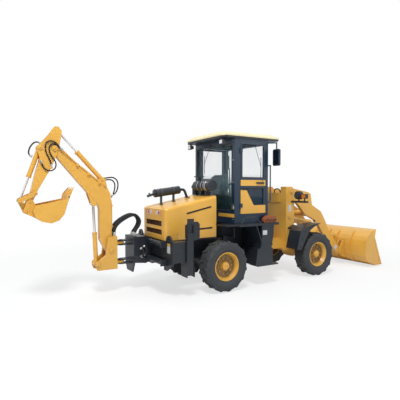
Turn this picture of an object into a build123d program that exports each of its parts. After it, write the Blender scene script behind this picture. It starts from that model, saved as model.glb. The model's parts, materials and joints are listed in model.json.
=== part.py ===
"""Backhoe loader with an articulated chassis: loader in front, digging arm behind.

Millimetres. +X is forward, +Y is left, +Z is up. Everything is drawn from the rear
axle's line on the floor, and the finished pieces are placed about the middle of the
footprint, which is the origin of the files.
"""

from build123d import *
import os
from math import atan2, cos, hypot, pi, radians, sin

os.makedirs("parts", exist_ok=True)

# ---------------------------------------------------------------- driving dimensions
# Wheels and axles
WHEELBASE = 2480
TRACK = 1456                # between the middle planes of the two wheels of an axle
TYRE_R = 477.5
TYRE_HALF = 170             # half the width of a tyre
LUG_H = 22
LUG_T = 46                  # a lug's thickness round the tyre
LUG_SKEW = 24               # degrees that a lug leans from straight across
LUGS = 15                   # on each half of the tread
RIM_R = 262
BEAD_GAP = 0.3
DISC_IN = 18                # the wheel disc's inner face, outboard of the middle plane
HUB_R = 82
SHAFT_R = 48
SHAFT_FIT = 0.6
AXLE_R = 72
AXLE_Z = TYRE_R + 1.2       # the lugs' corners reach just past the tread
SEAT_HALF = 70              # half the length of a seat on which the frame rests

# Rear frame
RAIL_IN = 250               # chassis rails, from the middle plane
RAIL_OUT = 310
RAIL_BOTTOM = 590
RAIL_TOP = 870
REAR_END = -1080            # rear end of the chassis rails
PIVOT_X = 1270              # articulation pin
PIVOT_R = 38
PIN_FIT = 0.5
EAR_R = 110
EAR_T = 40
RUN_GAP = 6                 # clearance between moving plates

# Bonnet
HOOD_REAR = -1100
HOOD_FRONT = 0
HOOD_HALF = 490
HOOD_BOTTOM = 1000
HOOD_REAR_TOP = 1585
HOOD_FRONT_TOP = 1800
HOOD_T = 14
HOOD_ROUND = 58

# Cab
CAB_REAR = 260
CAB_FRONT = 1110
CAB_HALF = 725
CAB_FLOOR = 1255
CAB_TOP = 2900
CAB_T = 60
SILL_TOP = 1420
DOOR_REAR = 400
DOOR_FRONT = 1050
DOOR_TOP = 2830
DOOR_GAP = 6
DOOR_T = 35
GLASS_T = 6
GLASS_GAP = 0.5
ROOF_REAR = 0
ROOF_FRONT = 1375
ROOF_HALF = 755
ROOF_T = 130

# Platforms
DECK_TOP = 1250
DECK_T = 45
DECK_OUT = 900
DECK_REAR = 260
DECK_FRONT = 1255
FENDER_T = 22

# Front frame and loader
TOWER_REAR = 1940
TOWER_FRONT = 2195
TOWER_IN = 235
TOWER_OUT = 410
TOWER_TOP = 1975
TOWER_T = 20
FRAME_FRONT = 2780
ARM_Y = (TOWER_IN + TOWER_OUT) / 2
ARM_HALF = 42
ARM_PIN = (2110, 1860)
BUCKET_PIN = (3850, 350)
LIFT_FOOT = (2035, 1290)
LIFT_EYE = (3010, 1105)
TILT_FOOT = (2740, 1765)
TILT_EYE = (3890, 650)
BUCKET_HALF = 980
BUCKET_T = 16
BUCKET_TIP = 4720

# Backhoe
RIG_Y = 310                 # middle plane of the digging arm
SWING_X = -1640
POST_HALF = 150
BOOM_HALF = 70
BOOM_PIN = (-1860, 800)
BOOM_FOOT = (-2105, 560)    # boom cylinder, lower pin
BOOM_EYE = (-2152, 1660)
STICK_PIN = (-2805, 2612)
STICK_FOOT = (-1985, 2090)  # stick cylinder, pin on the boom
STICK_EYE = (-2728, 2905)
DIG_PIN = (-3200, 1720)
DIG_FOOT = (-3035, 2610)    # bucket cylinder, pin on the stick
DIG_EYE = (-3345, 1740)
LINK_PIN = (-3120, 1850)    # guide link on the stick
DIG_EAR = (-3262, 1560)     # tipping link on the bucket
DIG_HALF = 250

# Carriage and its rails
PLATE_REAR = -1105           # rear face of the plates that carry the cross rails
SLIDE_HALF = 575
SLIDE_X = -1170
SLIDES = ((950, 46), (630, 50))         # height and radius of each cross rail
CARRIAGE_HALF = 235
CARRIAGE_REAR = -1465

# Stabilizers
LEG_PIN = (790, 430)        # (y, z) of a leg's hinge
LEG_X = (-830, -710)
FOOT_X = (-835, -565)

FOOTPRINT_MIDDLE = (BUCKET_TIP - 3405) / 2
PIECES = {}


# ---------------------------------------------------------------- drawing helpers
def drawn_face(points, plane, round_by=0):
    """A face with straight sides through the points, its corners rounded if asked."""
    with BuildSketch(plane) as drawn:
        with BuildLine():
            Polyline(*points, close=True)
        make_face()
        if round_by:
            fillet(drawn.vertices(), round_by)
    return drawn.sketch


def slab(points, y_low, y_high, round_by=0, mode=Mode.ADD):
    """A plate of (x, z) outline between two planes of constant y."""
    face = drawn_face(points, Plane.XZ.offset(-y_high), round_by)
    extrude(face, amount=y_high - y_low, mode=mode)


def wall(points, x_low, x_high, round_by=0, mode=Mode.ADD):
    """A plate of (y, z) outline between two planes of constant x."""
    face = drawn_face(points, Plane.YZ.offset(x_low), round_by)
    extrude(face, amount=x_high - x_low, mode=mode)


def deck(points, z_low, z_high, round_by=0, mode=Mode.ADD):
    """A plate of (x, y) outline between two planes of constant z."""
    face = drawn_face(points, Plane.XY.offset(z_low), round_by)
    extrude(face, amount=z_high - z_low, mode=mode)


def block(x_low, x_high, y_low, y_high, z_low, z_high, mode=Mode.ADD):
    """A straight block between three pairs of planes."""
    corners = [(x_low, y_low), (x_high, y_low), (x_high, y_high), (x_low, y_high)]
    deck(corners, z_low, z_high, mode=mode)


def cross_pin(centre, y_low, y_high, radius, mode=Mode.ADD):
    """A round bar along Y at an (x, z) point."""
    with BuildSketch(Plane.XZ.offset(-y_high)) as drawn:
        with Locations(centre):
            Circle(radius)
    extrude(drawn.sketch, amount=y_high - y_low, mode=mode)


def upright(centre, z_low, z_high, radius, mode=Mode.ADD):
    """A round bar along Z at an (x, y) point."""
    with BuildSketch(Plane.XY.offset(z_low)) as drawn:
        with Locations(centre):
            Circle(radius)
    extrude(drawn.sketch, amount=z_high - z_low, mode=mode)


def bar(start, end, radius, mode=Mode.ADD):
    """A round bar between two points in space."""
    run = Vector(*end) - Vector(*start)
    with BuildSketch(Plane(origin=start, z_dir=run)) as drawn:
        Circle(radius)
    extrude(drawn.sketch, amount=run.length, mode=mode)


def strap(bosses, y_low, y_high, mode=Mode.ADD):
    """A plate wrapped round bosses, each given as ((x, z), radius)."""
    with BuildSketch(Plane.XZ.offset(-y_high)) as drawn:
        for centre, radius in bosses:
            with Locations(centre):
                Circle(radius)
        make_hull()
    extrude(drawn.sketch, amount=y_high - y_low, mode=mode)


def band(points, thickness):
    """The outline of a folded sheet: an open line and its copy one thickness to the left."""
    copy = []
    for n, (a, b) in enumerate(points):
        before = points[max(n - 1, 0)]
        after = points[min(n + 1, len(points) - 1)]
        first = atan2(b - before[1], a - before[0]) if n else None
        last = atan2(after[1] - b, after[0] - a) if n < len(points) - 1 else None
        first = last if first is None else first
        last = first if last is None else last
        half = ((last - first + pi) % (2 * pi) - pi) / 2
        reach = thickness / cos(half)
        copy.append((a - reach * sin(first + half), b + reach * cos(first + half)))
    return list(points) + copy[::-1]


def along(start, end, distance):
    """The (x, z) point at a distance from start towards end."""
    span = hypot(end[0] - start[0], end[1] - start[1])
    share = distance / span
    return (start[0] + (end[0] - start[0]) * share, start[1] + (end[1] - start[1]) * share)


def ram_barrel(foot, eye, y, radius, rod_r, length, eye_half, pin_r, free):
    """A cylinder's barrel from its foot pin towards the eye, bored for its rod.

    free is how near the rod's inner end comes to the foot pin."""
    gland = along(foot, eye, length)
    collar = along(foot, eye, length - radius * 0.8)
    start = along(foot, eye, free - RUN_GAP)
    beyond = along(foot, eye, length + 1)
    cross_pin(foot, y - eye_half, y + eye_half, pin_r * 1.9)
    bar((foot[0], y, foot[1]), (gland[0], y, gland[1]), radius)
    bar((collar[0], y, collar[1]), (gland[0], y, gland[1]), radius * 1.12)
    bar((start[0], y, start[1]), (beyond[0], y, beyond[1]), rod_r + PIN_FIT, Mode.SUBTRACT)
    cross_pin(foot, y - 2 * radius, y + 2 * radius, pin_r + PIN_FIT, Mode.SUBTRACT)


def ram_rod(foot, eye, y, rod_r, inner, eye_half, pin_r):
    """A cylinder's rod, from its inner end at a distance from the foot pin, to its eye."""
    end = along(foot, eye, inner)
    bar((end[0], y, end[1]), (eye[0], y, eye[1]), rod_r)
    cross_pin(eye, y - eye_half, y + eye_half, pin_r * 1.9)
    cross_pin(eye, y - 2 * eye_half, y + 2 * eye_half, pin_r + PIN_FIT, Mode.SUBTRACT)


def keep(name, built):
    """Label a finished piece and put it by for writing."""
    PIECES[name] = built.part


# ---------------------------------------------------------------- wheels and axles
def tyre_profile():
    """Half sections of the carcass as (y, radius) points, from one bead to the other."""
    side = [(117.6, RIM_R + BEAD_GAP), (121, 271), (160, 325), (TYRE_HALF - 4, 375)]
    side += [(158, 425), (126, TYRE_R - LUG_H)]
    return [(-y, r) for y, r in side] + side[::-1]


with BuildPart() as lug:
    # one lug: a bar from the middle of the tread to the shoulder, leaning back
    top = TYRE_R - 4
    section = [(4, 430), (4, top), (132, top), (TYRE_HALF, 442), (TYRE_HALF, 412), (120, 420)]
    wall(section, -LUG_T / 2, LUG_T / 2)

with BuildPart() as tyre:
    with BuildSketch(Plane.YZ):
        with BuildLine():
            Polyline(*tyre_profile(), close=True)
        make_face()
    revolve(axis=Axis.Y)
    for n in range(LUGS):
        turn = 360 / LUGS
        add(lug.part.rotate(Axis.Z, LUG_SKEW).rotate(Axis.Y, n * turn))
        add(lug.part.mirror(Plane.XZ).rotate(Axis.Z, -LUG_SKEW).rotate(Axis.Y, (n + 0.5) * turn))

with BuildPart() as rim:
    # dish, disc and hub of a left wheel, turned about its axle
    with BuildSketch(Plane.YZ):
        with BuildLine():
            Polyline(
                (-128, RIM_R - 8), (-128, RIM_R + 8), (-121.5, RIM_R + 8), (-118, RIM_R),
                (118, RIM_R), (121.5, RIM_R + 8), (128, RIM_R + 8), (128, RIM_R - 10),
                (88, RIM_R - 30), (60, 215), (DISC_IN + 16, 205), (DISC_IN + 16, HUB_R + 30),
                (DISC_IN + 34, HUB_R + 14), (DISC_IN + 34, HUB_R), (92, HUB_R - 14), (98, 46),
                (98, 0), (62, 0), (62, SHAFT_R + SHAFT_FIT), (DISC_IN, SHAFT_R + SHAFT_FIT),
                (DISC_IN, 212), (40, 226), (40, RIM_R - 14), (-118, RIM_R - 14), close=True,
            )
        make_face()
    revolve(axis=Axis.Y)


def place_wheel(corner, x, side):
    """The tyre and rim of one corner; side is 1 on the left and -1 on the right."""
    spot = Location((x, side * TRACK / 2, AXLE_Z))
    dish = rim.part if side > 0 else rim.part.mirror(Plane.XZ)
    PIECES[f"tyre_{corner}"] = tyre.part.moved(spot)
    PIECES[f"rim_{corner}"] = dish.moved(spot)


place_wheel("rear_left", 0, 1)
place_wheel("rear_right", 0, -1)
place_wheel("front_left", WHEELBASE, 1)
place_wheel("front_right", WHEELBASE, -1)

SHAFT_END = TRACK / 2 + 60
FLANGE_OUT = TRACK / 2 + DISC_IN - 2


for name, x in (("rear_axle", 0), ("front_axle", WHEELBASE)):
    with BuildPart() as axle:
        with BuildSketch(Plane(origin=(x, 0, AXLE_Z), x_dir=(0, 1, 0), z_dir=(1, 0, 0))):
            with BuildLine():
                Polyline(
                    (0, 0), (0, 165), (110, 158), (210, AXLE_R + 12), (260, AXLE_R),
                    (TRACK / 2 - 120, AXLE_R), (TRACK / 2 - 110, 118), (FLANGE_OUT, 118),
                    (FLANGE_OUT, SHAFT_R), (SHAFT_END, SHAFT_R), (SHAFT_END, 0), close=True,
                )
            make_face()
        revolve(axis=Axis((x, 0, AXLE_Z), (0, 1, 0)))
        block(x - SEAT_HALF, x + SEAT_HALF, RAIL_IN, RAIL_OUT, AXLE_Z, RAIL_BOTTOM)
        mirror(about=Plane.XZ)
    keep(name, axle)


# ---------------------------------------------------------------- rear frame
with BuildPart() as rear_chassis:
    # side rails, cross members, the box before the pin and its two ears
    block(REAR_END, 1110, RAIL_IN, RAIL_OUT, RAIL_BOTTOM, RAIL_TOP)
    block(REAR_END, -20, RAIL_OUT - 12, RAIL_OUT, RAIL_TOP, HOOD_BOTTOM - 30)
    block(REAR_END, -20, RAIL_OUT - 12, 448, HOOD_BOTTOM - 30, HOOD_BOTTOM - 0.3)
    block(-840, -20, 440, HOOD_HALF, HOOD_BOTTOM - 30, HOOD_BOTTOM - 0.3)
    block(300, 1060, RAIL_OUT - 40, RAIL_OUT, RAIL_TOP, CAB_FLOOR - 0.3)
    mirror(about=Plane.XZ)
    for x in (REAR_END, -760, -330, 480):
        block(x, x + 60, -RAIL_IN, RAIL_IN, RAIL_BOTTOM, RAIL_BOTTOM + 50)
    block(REAR_END, REAR_END + 20, -RAIL_IN, RAIL_IN, RAIL_BOTTOM + 50, RAIL_TOP)
    block(1090, 1110, -RAIL_IN, RAIL_IN, RAIL_BOTTOM - 60, RAIL_TOP)
    for z in (540, 780):
        deck([(1100, -230), (1100, 230), (PIVOT_X - 40, 105), (PIVOT_X - 40, -105)], z, z + EAR_T)
        upright((PIVOT_X, 0), z, z + EAR_T, EAR_R)
    block(1100, 1115, -230, 230, 540, 820)
    upright((PIVOT_X, 0), 470, 890, PIVOT_R)
keep("rear_chassis", rear_chassis)

with BuildPart() as engine_block:
    # plain masses under the bonnet and under the cab floor
    block(-880, -200, -235, 235, RAIL_BOTTOM + 50, 1400)
    block(240, 479.7, -200, 200, RAIL_BOTTOM + 50, 900)
keep("engine_block", engine_block)


def hood_outline(inset):
    """The bonnet's (x, z) outline, drawn in by a wall thickness."""
    slope = (HOOD_FRONT_TOP - HOOD_REAR_TOP) / (HOOD_FRONT - HOOD_REAR - 50)
    low = HOOD_BOTTOM - (1 if inset else 0)
    rear = HOOD_REAR + inset
    return [
        (rear, low), (rear, HOOD_REAR_TOP - 30 - inset * 0.6),
        (HOOD_REAR + 50 + inset * 0.6, HOOD_REAR_TOP - inset),
        (HOOD_FRONT, HOOD_REAR_TOP - inset + slope * (HOOD_FRONT - HOOD_REAR - 50)),
        (HOOD_FRONT, low),
    ]


VENTS = ((1092, 1184), (1246, 1342))    # bottom and top of the two openings behind
VENT_HALF = 350
LAMP_Y = 225                            # middle of each tail lamp
LAMP_SIZE = (135, 42)                   # half width and half height
LAMP_Z = 1490

def hood_body(inset):
    """The bonnet as a solid with rounded long edges, drawn in by a wall thickness."""
    half = HOOD_HALF - inset
    with BuildPart() as body:
        slab(hood_outline(inset), -half, half)
        long_edges = body.edges().filter_by(lambda e: abs(e.center().Y) > half - 1)
        long_edges = long_edges.filter_by(lambda e: e.center().Z > HOOD_BOTTOM + 1)
        long_edges = long_edges.filter_by(lambda e: e.center().X < HOOD_FRONT - 1)
        fillet(long_edges, HOOD_ROUND - inset)
    return body.part


with BuildPart() as engine_hood:
    # a folded bonnet, open below, with rounded edges, vents behind and slits at the sides
    add(hood_body(0))
    add(hood_body(HOOD_T), mode=Mode.SUBTRACT)
    for low, high in VENTS:
        block(HOOD_REAR - 1, HOOD_REAR + 60, -VENT_HALF, VENT_HALF, low, high, Mode.SUBTRACT)
    for side in (1, -1):
        wide, tall = LAMP_SIZE
        y = side * LAMP_Y
        block(HOOD_REAR - 1, HOOD_REAR + 60, y - wide, y + wide, LAMP_Z - tall, LAMP_Z + tall,
              Mode.SUBTRACT)
        slit_y = (HOOD_HALF - 30, HOOD_HALF + 1) if side > 0 else (-HOOD_HALF - 1, -HOOD_HALF + 30)
        slab([(-650, 1462), (-122, 1575), (-122, 1592), (-650, 1480)], *slit_y, mode=Mode.SUBTRACT)
        slab([(-392, 1160), (-99, 1172), (-99, 1190), (-392, 1178)], *slit_y, mode=Mode.SUBTRACT)
        slab([(-650, 1268), (-500, 1268), (-500, 1370), (-650, 1370)], *slit_y,
             mode=Mode.SUBTRACT)
keep("engine_hood", engine_hood)

with BuildPart() as hood_grilles:
    # slats across the two rear openings, on two posts that stand against the inside
    inner = HOOD_REAR + HOOD_T + 0.3
    for y in (-VENT_HALF - 12, VENT_HALF - 8):
        block(inner, inner + 8, y, y + 20, VENTS[0][0] - 20, VENTS[1][1] + 20)
    for low, high in VENTS:
        for n in range(4):
            z = low + 6 + (high - low - 22) * n / 3
            slab([(inner, z), (inner + 10, z), (inner + 6, z + 12), (inner - 9, z + 4)],
                 -VENT_HALF + 1, VENT_HALF - 1)
    for z in (VENTS[0][0] - 20, VENTS[0][1] + 20, VENTS[1][1] + 8):
        block(inner, inner + 8, -VENT_HALF, VENT_HALF, z, z + 12)
keep("hood_grilles", hood_grilles)

with BuildPart() as tail_lamps:
    # lamp units in the bonnet's rear face: a lens on a body that closes the opening
    for y in (LAMP_Y, -LAMP_Y):
        wide, tall = LAMP_SIZE
        gap = GLASS_GAP
        block(HOOD_REAR + HOOD_T + 0.3, HOOD_REAR + 45, y - wide - 12, y + wide + 12,
              LAMP_Z - tall - 10, LAMP_Z + tall + 10)
        block(HOOD_REAR + 2, HOOD_REAR + HOOD_T + 1, y - wide + gap, y + wide - gap,
              LAMP_Z - tall + gap, LAMP_Z + tall - gap)
keep("tail_lamps", tail_lamps)


def hood_top(x):
    """Height of the bonnet's top at x."""
    slope = (HOOD_FRONT_TOP - HOOD_REAR_TOP) / (HOOD_FRONT - HOOD_REAR - 50)
    return HOOD_REAR_TOP + slope * (x - HOOD_REAR - 50)


MUFFLER_Y = 130
MUFFLER_R = 78
MUFFLER = ((-1010, 1838), (-500, 1905))     # (x, z) of its two ends

with BuildPart() as muffler:
    # a drum on two feet, its tail pipe behind and its inlet bent down to the bonnet
    (rear_x, rear_z), (front_x, front_z) = MUFFLER
    bar((rear_x, MUFFLER_Y, rear_z), (front_x, MUFFLER_Y, front_z), MUFFLER_R)
    bar((rear_x - 160, MUFFLER_Y, rear_z - 55), (rear_x + 5, MUFFLER_Y, rear_z), 24)
    with BuildLine() as inlet:
        FilletPolyline((front_x - 5, MUFFLER_Y, front_z), (front_x + 130, MUFFLER_Y, front_z + 10),
                       (front_x + 200, MUFFLER_Y, hood_top(front_x + 262) + 0.4), radius=60)
    with BuildSketch(Plane(origin=inlet.line @ 0, z_dir=inlet.line % 0)):
        Circle(26)
    sweep(path=inlet.line)
    flange_x = front_x + 200
    upright((flange_x, MUFFLER_Y), hood_top(flange_x + 62) + 0.4, hood_top(flange_x + 62) + 14, 58)
    for x in (rear_x + 130, front_x - 110):
        foot = hood_top(x + 22) + 0.3
        block(x - 22, x + 22, MUFFLER_Y - 60, MUFFLER_Y + 60, foot, foot + 10)
        block(x - 5, x + 5, MUFFLER_Y - 45, MUFFLER_Y + 45, foot + 5, rear_z)
keep("muffler", muffler)

CLEANER_X = -62
CLEANER_Z = 1985
CLEANER_R = 108
CLEANER_Y = (-450, 150)

with BuildPart() as air_cleaner:
    # a drum lying across, two bands and a cap, its elbow down, its rain cap up
    low, high = CLEANER_Y
    x, z = CLEANER_X, CLEANER_Z
    cross_pin((x, z), low, high, CLEANER_R - 6)
    for y, wide, radius in ((low, 60, CLEANER_R), (low + 110, 18, CLEANER_R + 2),
                            (low + 260, 18, CLEANER_R + 2), (low + 400, 18, CLEANER_R + 2)):
        cross_pin((x, z), y, y + wide, radius)
    cross_pin((x, z - 20), high - 5, high + 120, 52)
    upright((x, high + 60), HOOD_FRONT_TOP + 0.3, z - 20, 58)
    bar((x, 40, z + 80), (x, 40, z + 195), 38)
    bar((x, 40, z + 180), (x, 40, z + 198), 108)
    for y in (low + 150, low + 330):
        block(x - 60, x + 55, y, y + 40, hood_top(x + 55) + 0.3, z - 60)
keep("air_cleaner", air_cleaner)

# ---------------------------------------------------------------- cab
HINGE = (DOOR_REAR - 6, CAB_HALF + 11)      # (x, y) of the left door's hinge line
HINGE_R = 9
HINGE_PIN_R = 5
HINGES = (1560, 2640)                       # foot of each door knuckle
KNUCKLE = 80

with BuildPart() as cab_frame:
    # floor, sills, pillars and head rails of one hollow frame
    block(CAB_REAR, CAB_FRONT, -CAB_HALF, CAB_HALF, CAB_FLOOR, CAB_TOP)
    block(CAB_REAR + CAB_T, CAB_FRONT - CAB_T, -CAB_HALF + CAB_T, CAB_HALF - CAB_T,
          CAB_FLOOR + CAB_T, CAB_TOP + 1, Mode.SUBTRACT)
    glass_low, glass_high = 1500, 2800
    block(CAB_REAR - 1, CAB_REAR + CAB_T + 1, -CAB_HALF + 85, CAB_HALF - 85,
          glass_low, glass_high, Mode.SUBTRACT)
    block(CAB_FRONT - CAB_T - 1, CAB_FRONT + 1, -CAB_HALF + 65, CAB_HALF - 65,
          glass_low - 60, glass_high + 20, Mode.SUBTRACT)
    block(DOOR_REAR, DOOR_FRONT, -CAB_HALF - 1, CAB_HALF + 1, SILL_TOP, DOOR_TOP, Mode.SUBTRACT)
    # mirror brackets and grab tubes on the front pillars
    for side in (1, -1):
        y = side * (CAB_HALF - 20)
        far = side * (CAB_HALF + 135)
        bar((CAB_FRONT - 5, y, 2855), (CAB_FRONT + 105, far, 2850), 13)
        bar((CAB_FRONT + 105, far, 2863), (CAB_FRONT + 105, far, 2700), 13)
        wall([(far - 95, 2390), (far + 95, 2390), (far + 95, 2725), (far - 95, 2725)],
             CAB_FRONT + 88, CAB_FRONT + 122, round_by=36)
        for z in (1668, 2398):
            bar((CAB_FRONT - 5, y, z), (CAB_FRONT + 90, y, z), 13)
        bar((CAB_FRONT + 80, y, 1655), (CAB_FRONT + 80, y, 2411), 13)
        # a knuckle under each of the door's own, and the pin that stands in both
        for z in HINGES:
            tab_low, tab_high = sorted((side * (CAB_HALF - 2), side * HINGE[1]))
            block(HINGE[0] - 9, HINGE[0] + 6, tab_low, tab_high, z - 40, z - 1)
            upright((HINGE[0], side * HINGE[1]), z - 40, z - 1, HINGE_R)
            upright((HINGE[0], side * HINGE[1]), z - 5, z + KNUCKLE - 8, HINGE_PIN_R)
keep("cab_frame", cab_frame)

ROOF_EDGE = 38              # height of the dark rim under the roof


def roof_outline(inset):
    """The roof's (x, y) outline, its rear corners cut, drawn in by a distance."""
    rear, front, half = ROOF_REAR + inset, ROOF_FRONT - inset, ROOF_HALF - inset
    right = [(rear, -half + 120), (rear + 70, -half), (front, -half)]
    return right + [(x, -y) for x, y in right[::-1]]


with BuildPart() as roof_rim:
    # the frame on which the roof panel lies, open over the cab
    deck(roof_outline(6), CAB_TOP + 0.3, CAB_TOP + ROOF_EDGE)
    block(CAB_REAR + CAB_T, CAB_FRONT - CAB_T, -CAB_HALF + CAB_T, CAB_HALF - CAB_T,
          CAB_TOP, CAB_TOP + ROOF_EDGE + 1, Mode.SUBTRACT)
keep("roof_rim", roof_rim)

with BuildPart() as cab_roof:
    # a crowned panel
    outline = roof_outline(0)
    deck(outline, CAB_TOP + ROOF_EDGE + 0.3, CAB_TOP + 64)
    crown = [
        (ROOF_REAR + 60, -ROOF_HALF + 230), (ROOF_REAR + 160, -ROOF_HALF + 120),
        (ROOF_FRONT - 90, -ROOF_HALF + 120), (ROOF_FRONT - 90, ROOF_HALF - 120),
        (ROOF_REAR + 160, ROOF_HALF - 120), (ROOF_REAR + 60, ROOF_HALF - 230),
    ]
    loft([drawn_face(outline, Plane.XY.offset(CAB_TOP + 64)).face(),
          drawn_face(crown, Plane.XY.offset(CAB_TOP + ROOF_T)).face()])
keep("cab_roof", cab_roof)

with BuildPart() as cab_glass:
    # one pane behind, one before
    gap = GLASS_GAP
    middle = CAB_REAR + CAB_T / 2
    block(middle, middle + GLASS_T, -CAB_HALF + 85 + gap, CAB_HALF - 85 - gap,
          glass_low + gap, glass_high - gap)
    middle = CAB_FRONT - CAB_T / 2
    block(middle, middle + GLASS_T, -CAB_HALF + 65 + gap, CAB_HALF - 65 - gap,
          glass_low - 60 + gap, glass_high + 20 - gap)
keep("cab_glass", cab_glass)

DOOR_IN = CAB_HALF - DOOR_T
WINDOW = ((DOOR_REAR + 45, 2150), (DOOR_FRONT - 60, 2150), (DOOR_FRONT - 60, 2790),
          (DOOR_REAR + 45, 2790))
LOW_WINDOW = ((560, 1905), (735, 1615), (DOOR_FRONT - 60, 1615), (DOOR_FRONT - 60, 1940),
              (DOOR_REAR + 45, 1940), (DOOR_REAR + 45, 1905))

for name, side in (("door_right", -1), ("door_left", 1)):
    low_y, high_y = sorted((side * DOOR_IN, side * CAB_HALF))
    with BuildPart() as door:
        # a framed leaf with a large window, a small one below, a handle and two hinges
        block(DOOR_REAR + DOOR_GAP, DOOR_FRONT - DOOR_GAP, low_y, high_y,
              SILL_TOP + DOOR_GAP, DOOR_TOP - DOOR_GAP)
        slab(WINDOW, low_y - 1, high_y + 1, mode=Mode.SUBTRACT)
        slab(LOW_WINDOW, low_y - 1, high_y + 1, mode=Mode.SUBTRACT)
        out_low, out_high = sorted((side * (CAB_HALF - 1), side * (CAB_HALF + 22)))
        block(800, 985, out_low, out_high, 2030, 2054)
        for z in HINGES:
            upright((HINGE[0], side * HINGE[1]), z, z + KNUCKLE, HINGE_R)
            tab_low, tab_high = sorted((side * (CAB_HALF + 3), side * (CAB_HALF + 13)))
            block(HINGE[0], DOOR_REAR + 50, tab_low, tab_high, z, z + KNUCKLE)
            back_low, back_high = sorted((side * (CAB_HALF - 5), side * (CAB_HALF + 13)))
            block(DOOR_REAR + 20, DOOR_REAR + 50, back_low, back_high, z, z + KNUCKLE)
            upright((HINGE[0], side * HINGE[1]), z - 1, z + KNUCKLE - 4, HINGE_PIN_R + PIN_FIT,
                    Mode.SUBTRACT)
    keep(name, door)
    with BuildPart() as pane:
        # panes in the door's two windows
        middle = side * (CAB_HALF - DOOR_T / 2)
        for outline in (WINDOW, LOW_WINDOW):
            face = offset(drawn_face(outline, Plane.XZ.offset(-middle - GLASS_T / 2)),
                          amount=-GLASS_GAP, mode=Mode.PRIVATE)
            extrude(face, amount=GLASS_T)
    keep(name.replace("door", "door_glass"), pane)

SEAT_X = 640

with BuildPart() as driver_seat:
    # pedestal and shell
    block(SEAT_X - 170, SEAT_X + 170, -170, 170, CAB_FLOOR + CAB_T, CAB_FLOOR + CAB_T + 300)
    block(SEAT_X - 220, SEAT_X + 230, -220, 220, CAB_FLOOR + CAB_T + 300, CAB_FLOOR + CAB_T + 340)
    slab([(SEAT_X - 220, CAB_FLOOR + CAB_T + 320), (SEAT_X - 190, CAB_FLOOR + CAB_T + 320),
          (SEAT_X - 270, CAB_FLOOR + CAB_T + 860), (SEAT_X - 300, CAB_FLOOR + CAB_T + 860)],
         -210, 210)
keep("driver_seat", driver_seat)

with BuildPart() as seat_cushions:
    # the pad that is sat on and the back pad
    floor = CAB_FLOOR + CAB_T
    block(SEAT_X - 150, SEAT_X + 240, -225, 225, floor + 340.3, floor + 440)
    slab([(SEAT_X - 194, floor + 350), (SEAT_X - 162, floor + 350),
          (SEAT_X - 160, floor + 445), (SEAT_X - 110, floor + 460), (SEAT_X - 190, floor + 930),
          (SEAT_X - 271.8, floor + 875)], -220, 220)
keep("seat_cushions", seat_cushions)

with BuildPart() as steering_column:
    # column, wheel and instrument hood
    base = (960, 0, CAB_FLOOR + CAB_T)
    head = (860, 0, CAB_FLOOR + CAB_T + 720)
    lean = Vector(*head) - Vector(*base)
    slab([(900, CAB_FLOOR + CAB_T), (1035, CAB_FLOOR + CAB_T), (1000, 1900), (910, 1930)], -90, 90)
    bar((895, 0, 1850), head, 26)
    with BuildSketch(Plane(origin=head, z_dir=lean)):
        Circle(195)
        Circle(170, mode=Mode.SUBTRACT)
        Rectangle(350, 34)
        Circle(45)
    extrude(amount=22)
keep("steering_column", steering_column)

WORK_LAMP_Y = 600

with BuildPart() as work_lamps:
    # two lamps hung under the roof's rear edge, facing back
    for y in (WORK_LAMP_Y, -WORK_LAMP_Y):
        slab([(28, 2778), (62, 2778), (108, 2800), (108, 2850), (62, 2868), (28, 2868)],
             y - 58, y + 58)
        block(60, 76, y - 12, y + 12, 2860, CAB_TOP - 6)
        block(40, 100, y - 30, y + 30, CAB_TOP - 8, CAB_TOP)
keep("work_lamps", work_lamps)

# ---------------------------------------------------------------- platforms and fenders
REAR_FENDER = [(-60, DECK_TOP), (668, DECK_TOP), (835, 835)]


def platform(side):
    """Deck, folded fender, skirt, step box, step and handrail of one side."""
    near, far = sorted((side * (CAB_HALF + 0), side * DECK_OUT))
    block(DECK_REAR, DECK_FRONT, near, far, DECK_TOP - DECK_T, DECK_TOP)
    bridge_in, bridge_out = sorted((side * 500, side * (CAB_HALF + 10)))
    block(300, 1060, bridge_in, bridge_out, DECK_TOP - DECK_T, DECK_TOP)
    post_in, post_out = sorted((side * (RAIL_OUT + 0.3), side * 510))
    block(760, 1060, post_in, post_out, 700, DECK_TOP)
    fender_in, fender_out = sorted((side * 560, side * DECK_OUT))
    slab(band(REAR_FENDER, -FENDER_T), fender_in, fender_out)
    skirt_in, skirt_out = sorted((side * (RAIL_OUT + 0.3), side * 715))
    block(DECK_REAR, DECK_REAR + 12, skirt_in, skirt_out, 985, DECK_TOP - FENDER_T + 2)
    box_in, box_out = sorted((side * 500, side * (DECK_OUT - 4)))
    slab([(655, 430), (1096, 430), (1096, 740), (1060, 760), (1110, 1000), (1118, 1206),
          (806, 1206), (806, 900), (770, 760), (700, 745)], box_in, box_out)
    step_in, step_out = sorted((side * 640, side * (DECK_OUT + 6)))
    block(700, 1234, step_in, step_out, 405, 432)
    y = side * (DECK_OUT - 14)
    rail = [(300, DECK_TOP - 5), (385, 1372), (640, 1378), (800, DECK_TOP - 5)]
    for first, last in zip(rail, rail[1:]):
        bar((first[0], y, first[1]), (last[0], y, last[1]), 11)


for name, side in (("platform_right", -1), ("platform_left", 1)):
    with BuildPart() as side_platform:
        platform(side)
    keep(name, side_platform)

# ---------------------------------------------------------------- front frame
FRONT_EARS = (540 - RUN_GAP - EAR_T, 780 + EAR_T + RUN_GAP)

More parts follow.
